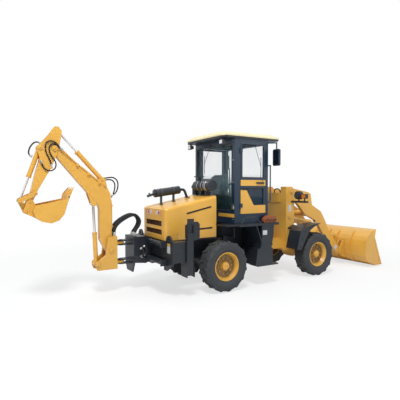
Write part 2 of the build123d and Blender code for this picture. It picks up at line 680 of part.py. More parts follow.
with BuildPart() as front_frame:
    # one side of rails, seat and tower, mirrored; then the ears and what joins the sides
    block(1440, FRAME_FRONT, RAIL_IN, RAIL_OUT, RAIL_BOTTOM, 800)
    tower = [(TOWER_REAR, 540), (TOWER_FRONT, 540), (TOWER_FRONT, TOWER_TOP - 90),
             (TOWER_FRONT - 70, TOWER_TOP), (TOWER_REAR, TOWER_TOP)]
    slab(tower, TOWER_IN, TOWER_IN + TOWER_T)
    slab(tower, TOWER_OUT - TOWER_T, TOWER_OUT)
    block(TOWER_REAR, TOWER_REAR + TOWER_T, TOWER_IN, TOWER_OUT, 540, TOWER_TOP)
    block(TOWER_REAR, TOWER_FRONT, TOWER_IN, TOWER_OUT, 540, 800)
    cross_pin(ARM_PIN, TOWER_IN - 8, TOWER_OUT + 8, 30)
    cross_pin(LIFT_FOOT, TOWER_IN - 8, TOWER_OUT + 8, 25)
    mirror(about=Plane.XZ)
    block(1960, 2095, -TOWER_IN, TOWER_IN, 1510, 1840)
    block(1960, 1980, -TOWER_IN, TOWER_IN, 800, 1510)
    block(1440, 2100, -RAIL_IN, RAIL_IN, 740, 800)
    block(2700, FRAME_FRONT, -RAIL_IN, RAIL_IN, RAIL_BOTTOM, 800)
    block(1425, 1455, -300, 300, FRONT_EARS[0], FRONT_EARS[1] + EAR_T)
    for z in FRONT_EARS:
        deck([(1430, -250), (1430, 250), (PIVOT_X + 40, 105), (PIVOT_X + 40, -105)], z, z + EAR_T)
        upright((PIVOT_X, 0), z, z + EAR_T, EAR_R)
    upright((PIVOT_X, 0), FRONT_EARS[0] - 1, FRONT_EARS[1] + EAR_T + 1, PIVOT_R + PIN_FIT,
            Mode.SUBTRACT)
keep("front_frame", front_frame)

FENDER_LINE = [(1791, 644), (1845, 859), (1900, 1021), (2054, 1081), (2250, 1140), (2492, 1162)]
FENDER_ARCH = [(2440, 1144), (2320, 1109), (2202, 1048), (2106, 959), (2050, 856), (1956, 702),
               (1901, 627)]

with BuildPart() as front_fenders:
    # folded sheets behind the front wheels, each with a side plate and a bracket to its tower
    slab(band(FENDER_LINE, 10), 572, DECK_OUT)
    slab(FENDER_LINE + FENDER_ARCH, DECK_OUT - 12, DECK_OUT)
    slab([(2000, 1062), (2054, 1083), (2150, 1112), (2150, 1080), (2000, 1030)],
         TOWER_OUT + 0.3, 640)
    mirror(about=Plane.XZ)
keep("front_fenders", front_fenders)

LAMP_POST_Y = 600

with BuildPart() as headlamps:
    # a round lamp and a side lamp on a bracket from each tower
    block(2095, 2190, TOWER_OUT + 0.3, 830, 1618, 1660)
    upright((2140, LAMP_POST_Y), 1650, 1710, 16)
    bar((2085, LAMP_POST_Y, 1783), (2185, LAMP_POST_Y, 1783), 92)
    bar((2060, LAMP_POST_Y, 1783), (2090, LAMP_POST_Y, 1783), 60)
    upright((2140, 765), 1650, 1730, 14)
    deck([(2095, 700), (2190, 700), (2190, 830), (2095, 830)], 1712, 1812, round_by=24)
    mirror(about=Plane.XZ)
keep("headlamps", headlamps)

# ---------------------------------------------------------------- loader
BEND = 28                   # rounding of the arms' and boom's corners
ARM_LINE = [
    (2060, 1960), (2690, 1850), (2785, 1800), (2830, 1545), (3145, 1378), (3295, 1165),
    (3430, 905), (3905, 395), (3800, 290), (3230, 830), (3000, 1150), (2590, 1340),
    (2360, 1575), (2070, 1765),
]
EYE_HALF = 24

with BuildPart() as loader_arms:
    # two banana plates with bosses and a fork for the lift rod, and two cross tubes
    slab(ARM_LINE, ARM_Y - ARM_HALF, ARM_Y + ARM_HALF, round_by=BEND)
    cross_pin(ARM_PIN, ARM_Y - ARM_HALF, ARM_Y + ARM_HALF, 102)
    cross_pin(ARM_PIN, TOWER_IN + TOWER_T + RUN_GAP, TOWER_OUT - TOWER_T - RUN_GAP, 56)
    cross_pin(BUCKET_PIN, ARM_Y - ARM_HALF, ARM_Y + ARM_HALF, 74)
    strap([(LIFT_EYE, 60), ((3070, 1250), 100)], ARM_Y - ARM_HALF, ARM_Y + ARM_HALF)
    strap([(LIFT_EYE, 68), ((2700, 1170), 95)], ARM_Y - EYE_HALF - 4, ARM_Y + EYE_HALF + 4,
          mode=Mode.SUBTRACT)
    cross_pin(ARM_PIN, ARM_Y - 100, ARM_Y + 100, 30 + PIN_FIT, Mode.SUBTRACT)
    cross_pin(BUCKET_PIN, ARM_Y - 100, ARM_Y + 100, 30 + PIN_FIT, Mode.SUBTRACT)
    mirror(about=Plane.XZ)
    inner = ARM_Y - ARM_HALF
    cross_pin((2865, 1325), -inner, inner, 65)
    cross_pin(TILT_FOOT, -inner, inner, 28)
keep("loader_arms", loader_arms)

with BuildPart() as lift_barrels:
    ram_barrel(LIFT_FOOT, LIFT_EYE, ARM_Y, 46, 27, 800, EYE_HALF + 16, 25, 60)
    mirror(about=Plane.XZ)
keep("lift_barrels", lift_barrels)

with BuildPart() as lift_rods:
    ram_rod(LIFT_FOOT, LIFT_EYE, ARM_Y, 27, 62, EYE_HALF, 25)
    mirror(about=Plane.XZ)
keep("lift_rods", lift_rods)

with BuildPart() as tilt_barrel:
    ram_barrel(TILT_FOOT, TILT_EYE, 0, 60, 34, 1100, 48, 28, 60)
keep("tilt_barrel", tilt_barrel)

with BuildPart() as tilt_rod:
    ram_rod(TILT_FOOT, TILT_EYE, 0, 34, 320, 40, 28)
keep("tilt_rod", tilt_rod)

BUCKET_LINE = [(4700, 45), (4470, 52), (4310, 78), (4180, 124), (4095, 190), (4050, 280),
               (4036, 400), (4040, 540), (4062, 660), (4110, 760), (4190, 840), (4300, 890),
               (4466, 925)]
RIM_LINE = [(4398, 722), (4676, 66)]    # front edge of the cheeks
RIM_WIDE = 52
RIB = 34                    # how far the back ribs stand out
BUCKET_EARS = ((ARM_Y - ARM_HALF - RUN_GAP - 22, ARM_Y - ARM_HALF - RUN_GAP),
               (ARM_Y + ARM_HALF + RUN_GAP, ARM_Y + ARM_HALF + RUN_GAP + 22))

with BuildPart() as loader_bucket:
    # wrapped sheet between two cheeks, a cutting edge, and ears behind for arms and cylinder
    half = BUCKET_HALF - 20
    slab(band(BUCKET_LINE[::-1], BUCKET_T), -half, half)
    cheek = BUCKET_LINE[:-1] + [(4440, 914), RIM_LINE[0], RIM_LINE[1]]
    for side in (1, -1):
        low, high = sorted((side * half, side * (BUCKET_HALF - 7)))
        slab(cheek, low, high)
        low, high = sorted((side * half, side * BUCKET_HALF))
        slab(band(RIM_LINE, -RIM_WIDE), low, high)
    slab([(BUCKET_TIP, 38), (BUCKET_TIP, 42), (4660, 64), (4400, 64), (4400, 38)],
         -BUCKET_HALF, BUCKET_HALF)
    for side in (1, -1):
        for near, far in BUCKET_EARS:
            low, high = sorted((side * near, side * far))
            strap([(BUCKET_PIN, 62), ((3990, 255), 62), ((3985, 560), 60)], low, high)
        near, far = sorted((side * (BUCKET_EARS[0][0] - 6), side * (BUCKET_EARS[1][1] + 6)))
        cross_pin(BUCKET_PIN, near, far, 30)
        low, high = sorted((side * 54, side * 76))
        strap([(TILT_EYE, 56), ((4005, 560), 50), ((4040, 680), 38)], low, high)
    for y in (-560, -130, 130, 560):
        slab(band(BUCKET_LINE[10:2:-1], -RIB), y - 7, y + 7)
keep("loader_bucket", loader_bucket)

# ---------------------------------------------------------------- cross rails, housings
END_PLATE = [(450, 475), (560, 475), (780, 600), (800, 640), (800, 1000), (450, 1000)]

with BuildPart() as stabilizer_frame:
    # back plate, housings with end plates and leg brackets, and the two cross rails
    block(PLATE_REAR, REAR_END - 0.3, -450, 450, 570, 990)
    for side in (1, -1):
        low, high = sorted((side * 450, side * 800))
        wall([(side * y, z) for y, z in END_PLATE], PLATE_REAR, REAR_END)
        tie = side * 640
        bar((PLATE_REAR, tie, 1000), (REAR_END, tie, 1000), 108)
        bar((PLATE_REAR - 1, tie, 1040), (REAR_END + 1, tie, 1040), 26, Mode.SUBTRACT)
        block(REAR_END, -850, low, high, 640, 1000)
        fork_low, fork_high = sorted((side * 640, side * 842))
        block(-850, -838, fork_low, fork_high, 372, 1000)
        block(-702, -690, fork_low, fork_high, 372, 560)
        low, high = sorted((side * 620, side * 738))
        block(-850, -690, low, high, 380, 560)
        y, z = LEG_PIN
        bar((-852, side * y, z), (-688, side * y, z), 24)
    for z, radius in SLIDES:
        bar((SLIDE_X, -SLIDE_HALF, z), (SLIDE_X, SLIDE_HALF, z), radius)
        for low, high in ((SLIDE_HALF - 19, SLIDE_HALF), (-SLIDE_HALF, 19 - SLIDE_HALF)):
            block(SLIDE_X - radius - 8, PLATE_REAR, low, high, z - radius - 10, z + radius + 10)
keep("stabilizer_frame", stabilizer_frame)

for name, side in (("stabilizer_right", -1), ("stabilizer_left", 1)):
    with BuildPart() as leg:
        # a box leg folded up against its housing, with a two-lobed foot at its end
        y, z = LEG_PIN
        rear, front = LEG_X
        low, high = sorted((side * (y - 36), side * (y + 36)))
        block(rear, front, low, high, z, 1150)
        bar((rear, side * y, z), (front, side * y, z), 36)
        pad_low, pad_high = sorted((side * (y - 8), side * (y + 10)))
        mid = sum(FOOT_X) / 2
        pad = [(FOOT_X[0], 1060), (FOOT_X[0] + 70, 1015), (FOOT_X[1] - 70, 1015),
               (FOOT_X[1], 1060), (FOOT_X[1], 1300), (FOOT_X[1] - 40, 1345),
               (mid + 25, 1345), (mid, 1310), (mid - 25, 1345), (FOOT_X[0] + 40, 1345),
               (FOOT_X[0], 1300)]
        slab(pad, pad_low, pad_high, round_by=18)
        rib_low, rib_high = sorted((side * (y - 60), side * (y + 40)))
        block(front - 1, front + 14, rib_low, rib_high, 1060, 1290)
        block(rear, rear + 14, rib_low, rib_high, 1060, 1290)
        bar((rear - 2, side * y, z), (front + 2, side * y, z), 24 + PIN_FIT, Mode.SUBTRACT)
    keep(name, leg)

# ---------------------------------------------------------------- digging arm
POST_EARS = ((545, 35), (900, 35))      # bottom and height of the swing post's two ears
SWING_R = 30
POST_FRONT = -1752

with BuildPart() as carriage:
    # a box whose side plates run on the two cross rails, and two pairs of ears behind
    low, high = RIG_Y - CARRIAGE_HALF, RIG_Y + CARRIAGE_HALF
    front = SLIDE_X - SLIDES[1][1] - 10
    wall([(low, 540), (low + 90, 360), (high - 90, 360), (high, 540), (high, 1030),
          (low, 1030)], CARRIAGE_REAR, CARRIAGE_REAR + 25)
    block(front - 20, front, low, high, 520, 1030)
    block(CARRIAGE_REAR, front, low, high, 1005, 1030)
    block(CARRIAGE_REAR, front, low, high, 700, 720)
    for y in (low, high - 22):
        slab([(CARRIAGE_REAR, 545), (front, 520), (SLIDE_X + 60, 560), (SLIDE_X + 60, 1010),
              (front, 1030), (CARRIAGE_REAR, 1030)], y, y + 22)
    for z, radius in SLIDES:
        bar((SLIDE_X, low - 1, z), (SLIDE_X, high + 1, z), radius + PIN_FIT, Mode.SUBTRACT)
    for z, tall in POST_EARS:
        for base in (z - RUN_GAP - 26, z + tall + RUN_GAP):
            deck([(CARRIAGE_REAR + 5, RIG_Y - 85), (CARRIAGE_REAR + 5, RIG_Y + 85),
                  (SWING_X, RIG_Y + 62), (SWING_X, RIG_Y - 62)], base, base + 26)
            upright((SWING_X, RIG_Y), base, base + 26, 62)
        upright((SWING_X, RIG_Y), z - RUN_GAP - 34, z + tall + RUN_GAP + 34, SWING_R)
keep("carriage", carriage)

with BuildPart() as swing_post:
    # two cheeks joined in front and below, its ears, and the pins for boom and cylinder
    cheek = [(POST_FRONT, 455), (POST_FRONT, 1050), (-1790, 1062), (-1925, 1040), (-1965, 720),
             (-2085, 630), (-2145, 600), (-2145, 515), (-2115, 455)]
    for side in (1, -1):
        low, high = sorted((RIG_Y + side * 100, RIG_Y + side * POST_HALF))
        slab(cheek, low, high)
        low, high = sorted((RIG_Y + side * (BOOM_HALF + RUN_GAP), RIG_Y + side * 105))
        cross_pin(BOOM_PIN, low, high, 62)
        low, high = sorted((RIG_Y + side * 48, RIG_Y + side * 105))
        cross_pin(BOOM_FOOT, low, high, 40)
    block(-1785, POST_FRONT, RIG_Y - 105, RIG_Y + 105, 455, 1050)
    block(-2100, POST_FRONT, RIG_Y - 105, RIG_Y + 105, 455, 475)
    cross_pin(BOOM_PIN, RIG_Y - POST_HALF - 6, RIG_Y + POST_HALF + 6, 30)
    cross_pin(BOOM_FOOT, RIG_Y - POST_HALF - 6, RIG_Y + POST_HALF + 6, 25)
    # the pins' bosses end at the post's front face, before the ears go on
    block(POST_FRONT, -1700, RIG_Y - 150, RIG_Y + 150, 300, 1200, Mode.SUBTRACT)
    for z, tall in POST_EARS:
        deck([(-1760, RIG_Y - 110), (POST_FRONT, RIG_Y - 110), (SWING_X, RIG_Y - 58),
              (SWING_X, RIG_Y + 58), (POST_FRONT, RIG_Y + 110), (-1760, RIG_Y + 110)], z, z + tall)
        upright((SWING_X, RIG_Y), z, z + tall, 58)
        upright((SWING_X, RIG_Y), z - 1, z + tall + 1, SWING_R + PIN_FIT, Mode.SUBTRACT)
keep("swing_post", swing_post)

BOOM_LINE = [
    (-1835, 760), (-1832, 1444), (-1847, 1830), (-1925, 1975), (-2462, 2398), (-2740, 2655),
    (-2850, 2560), (-2564, 2215), (-2240, 1835), (-2085, 1660), (-2050, 1560), (-2048, 1000),
    (-1925, 760),
]

with BuildPart() as boom:
    # a bent box with a boss at each end, brackets for two cylinders, and pipes down its front
    slab(BOOM_LINE, RIG_Y - BOOM_HALF, RIG_Y + BOOM_HALF, round_by=BEND)
    cross_pin(BOOM_PIN, RIG_Y - BOOM_HALF, RIG_Y + BOOM_HALF, 70)
    cross_pin(STICK_PIN, RIG_Y - BOOM_HALF, RIG_Y + BOOM_HALF, 70)
    for side in (1, -1):
        low, high = sorted((RIG_Y + side * 48, RIG_Y + side * 64))
        strap([(BOOM_EYE, 46), ((-2235, 1850), 28), ((-2080, 1760), 50)], low, high)
        strap([(STICK_FOOT, 46), ((-1960, 1960), 50), ((-2080, 2060), 40)], low, high)
        y = RIG_Y + side * 35
        bar((-1822, y, 1180), (-1822, y, 1640), 12)
        for z in (1220, 1600):
            block(-1836, -1800, y - 16, y + 16, z, z + 24)
    cross_pin(STICK_FOOT, RIG_Y - 70, RIG_Y + 70, 25)
    cross_pin(BOOM_PIN, RIG_Y - 90, RIG_Y + 90, 30 + PIN_FIT, Mode.SUBTRACT)
    cross_pin(STICK_PIN, RIG_Y - 90, RIG_Y + 90, 28 + PIN_FIT, Mode.SUBTRACT)
keep("boom", boom)

STICK_IN = BOOM_HALF + RUN_GAP
STICK_OUT = STICK_IN + 12
STICK_LINE = [
    (-2795, 2985), (-2735, 2975), (-2690, 2900), (-2725, 2690), (-2768, 2520), (-2886, 2241),
    (-3076, 1906), (-3150, 1735), (-3245, 1700), (-3178, 1906), (-3112, 2170), (-3040, 2420),
    (-3085, 2600), (-3040, 2665), (-2880, 2860),
]
STICK_CORE = [(-3025, 2440), (-2800, 2430), (-2886, 2241), (-3076, 1906), (-3150, 1735),
              (-3245, 1700), (-3178, 1906), (-3112, 2170)]

with BuildPart() as stick:
    # two side plates, a box between them below the boom's end, and pins
    for side in (1, -1):
        low, high = sorted((RIG_Y + side * STICK_IN, RIG_Y + side * STICK_OUT))
        slab(STICK_LINE, low, high)
        cross_pin(DIG_FOOT, low, high, 50)
        cross_pin(DIG_PIN, low, high, 52)
        low, high = sorted((RIG_Y + side * 46, RIG_Y + side * STICK_IN))
        cross_pin(STICK_EYE, low, high, 38)
    slab(STICK_CORE, RIG_Y - STICK_IN, RIG_Y + STICK_IN)
    cross_pin(DIG_PIN, RIG_Y - STICK_OUT, RIG_Y + STICK_OUT, 52)
    cross_pin(STICK_PIN, RIG_Y - STICK_OUT - 8, RIG_Y + STICK_OUT + 8, 28)
    cross_pin(DIG_FOOT, RIG_Y - STICK_OUT - 6, RIG_Y + STICK_OUT + 6, 24)
    cross_pin(DIG_PIN, RIG_Y - 120, RIG_Y + 120, 26 + PIN_FIT, Mode.SUBTRACT)
    cross_pin(LINK_PIN, RIG_Y - 120, RIG_Y + 120, 22 + PIN_FIT, Mode.SUBTRACT)
keep("stick", stick)

EAR_IN = STICK_OUT + RUN_GAP
EAR_OUT = EAR_IN + 16
DIG_LINE = [(-2622, 1745), (-2690, 1505), (-2775, 1400), (-2900, 1357), (-3050, 1392),
            (-3140, 1480), (-3172, 1570), (-3138, 1655)]
TOOTH_TIP = (-2530, 1962)
TEETH = 4

with BuildPart() as digging_bucket:
    # wrapped sheet between cheeks, teeth on its lip, and ears for the stick and its link
    slab(band(DIG_LINE[::-1], 12), RIG_Y - DIG_HALF + 12, RIG_Y + DIG_HALF - 12)
    cheek = DIG_LINE + [(-2660, 1752)]
    for side in (1, -1):
        low, high = sorted((RIG_Y + side * (DIG_HALF - 12), RIG_Y + side * DIG_HALF))
        slab(cheek, low, high)
        low, high = sorted((RIG_Y + side * EAR_IN, RIG_Y + side * EAR_OUT))
        strap([(DIG_PIN, 48), (DIG_EAR, 40), ((-3110, 1460), 20), ((-3120, 1620), 20)], low, high)
    for n in range(TEETH):
        y = RIG_Y - DIG_HALF + 28 + n * (2 * DIG_HALF - 56) / (TEETH - 1)
        slab([(-2655, 1720), (-2628, 1712), (-2598, 1800), (-2585, 1840), (-2632, 1848),
              (-2645, 1800)], y - 27, y + 27)
        slab([(-2640, 1790), (-2600, 1790), (-2574, 1850), TOOTH_TIP, (-2624, 1858)],
             y - 15, y + 15)
    cross_pin(DIG_PIN, RIG_Y - EAR_OUT - 5, RIG_Y + EAR_OUT + 5, 26)
    cross_pin(DIG_EAR, RIG_Y - EAR_OUT, RIG_Y + EAR_OUT, 22)
keep("digging_bucket", digging_bucket)

GUIDE_IN = EAR_OUT + 7
GUIDE_OUT = GUIDE_IN + 12

with BuildPart() as guide_link:
    # a pair of straps on the stick, on one through pin, with a stub pin inside each
    for side in (1, -1):
        low, high = sorted((RIG_Y + side * GUIDE_IN, RIG_Y + side * GUIDE_OUT))
        strap([(LINK_PIN, 34), (DIG_EYE, 36)], low, high)
        low, high = sorted((RIG_Y + side * 54, RIG_Y + side * GUIDE_IN))
        cross_pin(DIG_EYE, low, high, 22)
    cross_pin(LINK_PIN, RIG_Y - GUIDE_OUT, RIG_Y + GUIDE_OUT, 22)
keep("guide_link", guide_link)

with BuildPart() as tipping_link:
    # a pair of straps from the bucket's ear to the rod's eye
    for side in (1, -1):
        low, high = sorted((RIG_Y + side * 32, RIG_Y + side * 48))
        strap([(DIG_EAR, 38), (DIG_EYE, 36)], low, high)
    cross_pin(DIG_EAR, RIG_Y - 70, RIG_Y + 70, 34)
    cross_pin(DIG_EAR, RIG_Y - 80, RIG_Y + 80, 22 + PIN_FIT, Mode.SUBTRACT)
    cross_pin(DIG_EYE, RIG_Y - 80, RIG_Y + 80, 24, Mode.SUBTRACT)
keep("tipping_link", tipping_link)

# name, foot, eye, barrel radius, rod radius, barrel length, rod's inner end at rest, free
RAMS = (
    ("boom", BOOM_FOOT, BOOM_EYE, 40, 24, 578, 512, 49, 40, 25),
    ("stick", STICK_FOOT, STICK_EYE, 42, 22, 665, 355, 50, 40, 25),
    ("dig", DIG_FOOT, DIG_EYE, 38, 20, 525, 385, 50, 26, 24),
)
for name, foot, eye, barrel_r, rod_r, length, inner, free, half, pin_r in RAMS:
    with BuildPart() as barrel:
        ram_barrel(foot, eye, RIG_Y, barrel_r, rod_r, length, max(half, 40), pin_r, free)
    keep(name + "_barrel", barrel)
    with BuildPart() as rod:
        ram_rod(foot, eye, RIG_Y, rod_r, inner, half, pin_r)
    keep(name + "_rod", rod)

# ---------------------------------------------------------------- placing and writing
for name, piece in PIECES.items():
    placed = piece.moved(Location((-FOOTPRINT_MIDDLE, 0, 0)))
    placed.label = name
    export_step(placed, f"parts/{name}.step")
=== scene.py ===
"""Dressing of a backhoe loader: finishes, small fittings, hoses, cushions and the stage."""
import json

import bmesh
import bpy
import numpy as np
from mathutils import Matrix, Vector


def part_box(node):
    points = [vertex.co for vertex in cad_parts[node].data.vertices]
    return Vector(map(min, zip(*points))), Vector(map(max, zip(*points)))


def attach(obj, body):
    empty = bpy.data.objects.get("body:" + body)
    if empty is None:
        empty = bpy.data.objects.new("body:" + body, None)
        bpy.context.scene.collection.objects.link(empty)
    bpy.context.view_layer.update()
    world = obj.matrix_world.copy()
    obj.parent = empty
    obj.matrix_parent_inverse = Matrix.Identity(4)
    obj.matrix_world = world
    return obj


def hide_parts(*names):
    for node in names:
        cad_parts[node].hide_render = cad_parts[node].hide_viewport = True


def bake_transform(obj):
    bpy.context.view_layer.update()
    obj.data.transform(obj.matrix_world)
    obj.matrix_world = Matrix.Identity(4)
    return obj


bl_info = {
    "name": "Backhoe Loader Dressing",
    "version": (1, 0, 0),
    "blender": (4, 5, 0),
    "location": "3D View > Sidebar > Loader",
    "description": "Finishes and fittings for the packed backhoe loader",
    "category": "Object",
}

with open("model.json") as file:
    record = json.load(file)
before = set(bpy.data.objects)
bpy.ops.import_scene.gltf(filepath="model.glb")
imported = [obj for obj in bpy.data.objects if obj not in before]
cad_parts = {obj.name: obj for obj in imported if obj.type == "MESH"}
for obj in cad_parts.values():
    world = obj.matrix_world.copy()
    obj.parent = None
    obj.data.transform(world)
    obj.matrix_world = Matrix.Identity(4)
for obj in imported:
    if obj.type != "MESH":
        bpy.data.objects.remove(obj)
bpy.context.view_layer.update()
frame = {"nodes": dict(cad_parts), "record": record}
NODES = frame["nodes"]


def middle(node):
    """The middle of a node's box at rest."""
    low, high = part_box(node)
    return (np.array(low) + np.array(high)) / 2


RIG_Y = middle("boom")[1]               # middle plane of the digging arm
X0 = middle("rear_axle")[0]             # lengths below are given from the rear axle
THIN = 8                                # sides of a thin round bar or bead


def spot(x, y, z):
    """A point given from the rear axle, the middle plane and the ground, in metres."""
    return np.array((X0 + x, y, z))


# ---------------------------------------------------------------- settings
class LoaderFinishes(bpy.types.PropertyGroup):
    """Colours of the machine's finishes, as linear values."""

    yellow: bpy.props.FloatVectorProperty(
        name="Body yellow", description="Paint of bonnet, arms and buckets",
        subtype="COLOR", size=3, min=0, max=1, default=(0.76, 0.405, 0.058))
    dark: bpy.props.FloatVectorProperty(
        name="Chassis grey", description="Paint of chassis, platforms and stabilizers",
        subtype="COLOR", size=3, min=0, max=1, default=(0.012, 0.0165, 0.023))
    cab: bpy.props.FloatVectorProperty(
        name="Cab blue-grey", description="Paint of the cab's frame and doors",
        subtype="COLOR", size=3, min=0, max=1, default=(0.010, 0.028, 0.054))
    roof: bpy.props.FloatVectorProperty(
        name="Roof cream", description="Paint of the roof panel",
        subtype="COLOR", size=3, min=0, max=1, default=(0.78, 0.68, 0.40))
    rubber: bpy.props.FloatVectorProperty(
        name="Rubber", description="Tyres and hoses",
        subtype="COLOR", size=3, min=0, max=1, default=(0.0065, 0.0088, 0.0116))


class LoaderFittings(bpy.types.PropertyGroup):
    """Sizes of the small fittings."""

    nut: bpy.props.FloatProperty(
        name="Wheel nut", description="Width of a wheel nut across its flats",
        subtype="DISTANCE", unit="LENGTH", default=0.032)
    bolt: bpy.props.FloatProperty(
        name="Bolt head", description="Width of a frame bolt's head across its flats",
        subtype="DISTANCE", unit="LENGTH", default=0.026)
    hose: bpy.props.FloatProperty(
        name="Hose", description="Outer diameter of a hydraulic hose",
        subtype="DISTANCE", unit="LENGTH", default=0.024)


def fittings():
    """The sizes now set."""
    return bpy.context.scene.loader_fittings


# ---------------------------------------------------------------- shapes
def grid_faces(rows, columns, close_rows=False, close_columns=False):
    """Quads between neighbouring points of a grid, going on round where it closes."""
    row = np.arange(rows if close_rows else rows - 1)
    column = np.arange(columns if close_columns else columns - 1)
    row, column = np.meshgrid(row, column, indexing="ij")
    next_row, next_column = (row + 1) % rows, (column + 1) % columns
    corners = (row * columns + column, row * columns + next_column,
               next_row * columns + next_column, next_row * columns + column)
    return np.stack(corners, -1).reshape(-1, 4).tolist()


def joined(shapes):
    """Several (points, faces) as one."""
    points, faces, start = [], [], 0
    for these, those in shapes:
        points.append(np.asarray(these, float).reshape(-1, 3))
        faces += [[start + n for n in face] for face in those]
        start += len(points[-1])
    return np.concatenate(points), faces


def piece(name, shape, look, body="rear_frame", smooth=False, bevel=0.0):
    """A finished object from (points, faces): doubles merged, faces outward, on its body."""
    points, faces = shape
    mesh = bpy.data.meshes.new(name)
    mesh.from_pydata(np.asarray(points).reshape(-1, 3).tolist(), [], faces)
    work = bmesh.new()
    work.from_mesh(mesh)
    bmesh.ops.remove_doubles(work, verts=work.verts, dist=1e-6)
    bmesh.ops.recalc_face_normals(work, faces=work.faces)
    work.to_mesh(mesh)
    work.free()
    mesh.polygons.foreach_set("use_smooth", np.full(len(mesh.polygons), smooth))
    mesh.materials.append(finish(look) if isinstance(look, str) else look)
    thing = bpy.data.objects.new(name, mesh)
    bpy.context.scene.collection.objects.link(thing)
    if bevel:
        edge = thing.modifiers.new("edges", "BEVEL")
        edge.width = bevel
        edge.segments = 2
        edge.limit_method = "ANGLE"
    if body:
        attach(thing, body)
    return thing


def across(direction):
    """Two unit vectors square to a direction and to each other."""
    along = np.asarray(direction, float)
    along = along / np.linalg.norm(along)
    other = np.array((0, 0, 1.0)) if abs(along[2]) < 0.9 else np.array((1.0, 0, 0))
    first = np.cross(other, along)
    first /= np.linalg.norm(first)
    return along, first, np.cross(along, first)


def turned(profile, centre, axis, sides, closed=False):
    """A revolved form: each (along, radius) of the profile goes round the axis as
    centre + along * axis + radius * (cos t * u + sin t * v). The profile itself may close."""
    along, u, v = across(axis)
    profile = np.asarray(profile, float)
    t = np.linspace(0, 2 * np.pi, sides, endpoint=False)
    turn = np.cos(t)[:, None] * u + np.sin(t)[:, None] * v
    points = (np.asarray(centre, float) + profile[:, None, :1] * along
              + profile[:, None, 1:] * turn[None])
    return points, grid_faces(len(profile), sides, close_rows=closed, close_columns=True)


def disc(centre, axis, radius, thick, sides, dome=0.0):
    """A round plate with softened edges, its face raised by dome in the middle."""
    soft = min(thick, radius) * 0.25
    share = np.linspace(1, 0, 6)
    face = np.stack((thick + dome * (1 - share ** 2), (radius - soft) * share), -1)
    profile = np.concatenate(([(0, 0), (0, radius), (thick - soft, radius)], face))
    return turned(profile, centre, axis, sides)


def tube(path, radius, sides=12, up=(0, 1, 0)):
    """A round section carried along a path, closed at both ends: each ring is
    path + r * (cos t * side + sin t * other), square to the path's direction."""
    path = np.asarray(path, float)
    path = np.concatenate((path[:1], path, path[-1:]))
    size = np.full(len(path), float(radius))
    size[0] = size[-1] = 0
    tangent = np.gradient(path[1:-1], axis=0)
    tangent = np.concatenate((tangent[:1], tangent, tangent[-1:]))
    tangent /= np.linalg.norm(tangent, axis=1)[:, None]
    side = np.cross(tangent, np.asarray(up, float))
    side /= np.linalg.norm(side, axis=1)[:, None]
    other = np.cross(side, tangent)
    t = np.linspace(0, 2 * np.pi, sides, endpoint=False)
    ring = (np.cos(t)[None, :, None] * side[:, None] + np.sin(t)[None, :, None] * other[:, None])
    points = path[:, None] + size[:, None, None] * ring
    return points, grid_faces(len(path), sides, close_columns=True)


def plate(outline, low, high, plane="xz"):
    """A flat outline given thickness along its plane's normal, with its two faces; x is
    given from the rear axle."""
    outline = np.asarray(outline, float)
    count = len(outline)
    columns = {"xz": (0, 2, 1), "xy": (0, 1, 2), "yz": (1, 2, 0)}[plane]
    points = np.zeros((2, count, 3))
    points[:, :, columns[0]] = outline[:, 0]
    points[:, :, columns[1]] = outline[:, 1]
    points[0, :, columns[2]] = low
    points[1, :, columns[2]] = high
    points[..., 0] += X0
    faces = grid_faces(2, count, close_columns=True)
    faces += [list(range(count)), list(range(2 * count - 1, count - 1, -1))]
    return points, faces


def brick(low, high):
    """A straight block between two corners."""
    (x0, y0, z0), (x1, y1, z1) = low, high
    return plate([(x0, z0), (x1, z0), (x1, z1), (x0, z1)], y0, y1)


def hex_heads(places, axis, width, height):
    """Six-sided heads with a chamfered crown, one at each place, by adding one head's
    points to every place at once."""
    along, u, v = across(axis)
    places = np.asarray(places, float).reshape(-1, 3)
    t = np.arange(6) * np.pi / 3
    ring = np.cos(t)[:, None] * u + np.sin(t)[:, None] * v
    corner = width / np.sqrt(3)
    profile = np.array(((0, 0), (0, corner), (height * 0.8, corner), (height, corner * 0.8),
                        (height, 0)))
    head = profile[:, None, :1] * along + profile[:, None, 1:] * ring[None]
    points = places[:, None, None] + head[None]
    faces = np.array(grid_faces(len(profile), 6, close_columns=True))
    every = faces[None] + (np.arange(len(places)) * head.shape[0] * 6)[:, None, None]
    return points, every.reshape(-1, 4).tolist()


def mirrored(shape):
    """A shape and its image across the machine's middle plane."""
    points, faces = shape
    points = np.asarray(points, float).reshape(-1, 3)
    return joined([(points, faces), (points * (1, -1, 1), faces)])


def ring(centre, axis, offset, radius, thick, sides=64):
    """A round bar bent to a circle: a small circle of radius thick, carried round the
    axis at a distance from it and offset along it."""
    t = np.linspace(0, 2 * np.pi, THIN, endpoint=False)
    profile = np.stack((offset + thick * np.cos(t), radius + thick * np.sin(t)), -1)
    return turned(profile, centre, axis, sides, closed=True)


def hoop(centre, axis, offset, inner, outer, wide, sides=64):
    """A flat strap bent to a circle, between two radii and as wide along the axis."""
    profile = ((offset, inner), (offset, outer), (offset + wide, outer), (offset + wide, inner))
    return turned(profile, centre, axis, sides, closed=True)


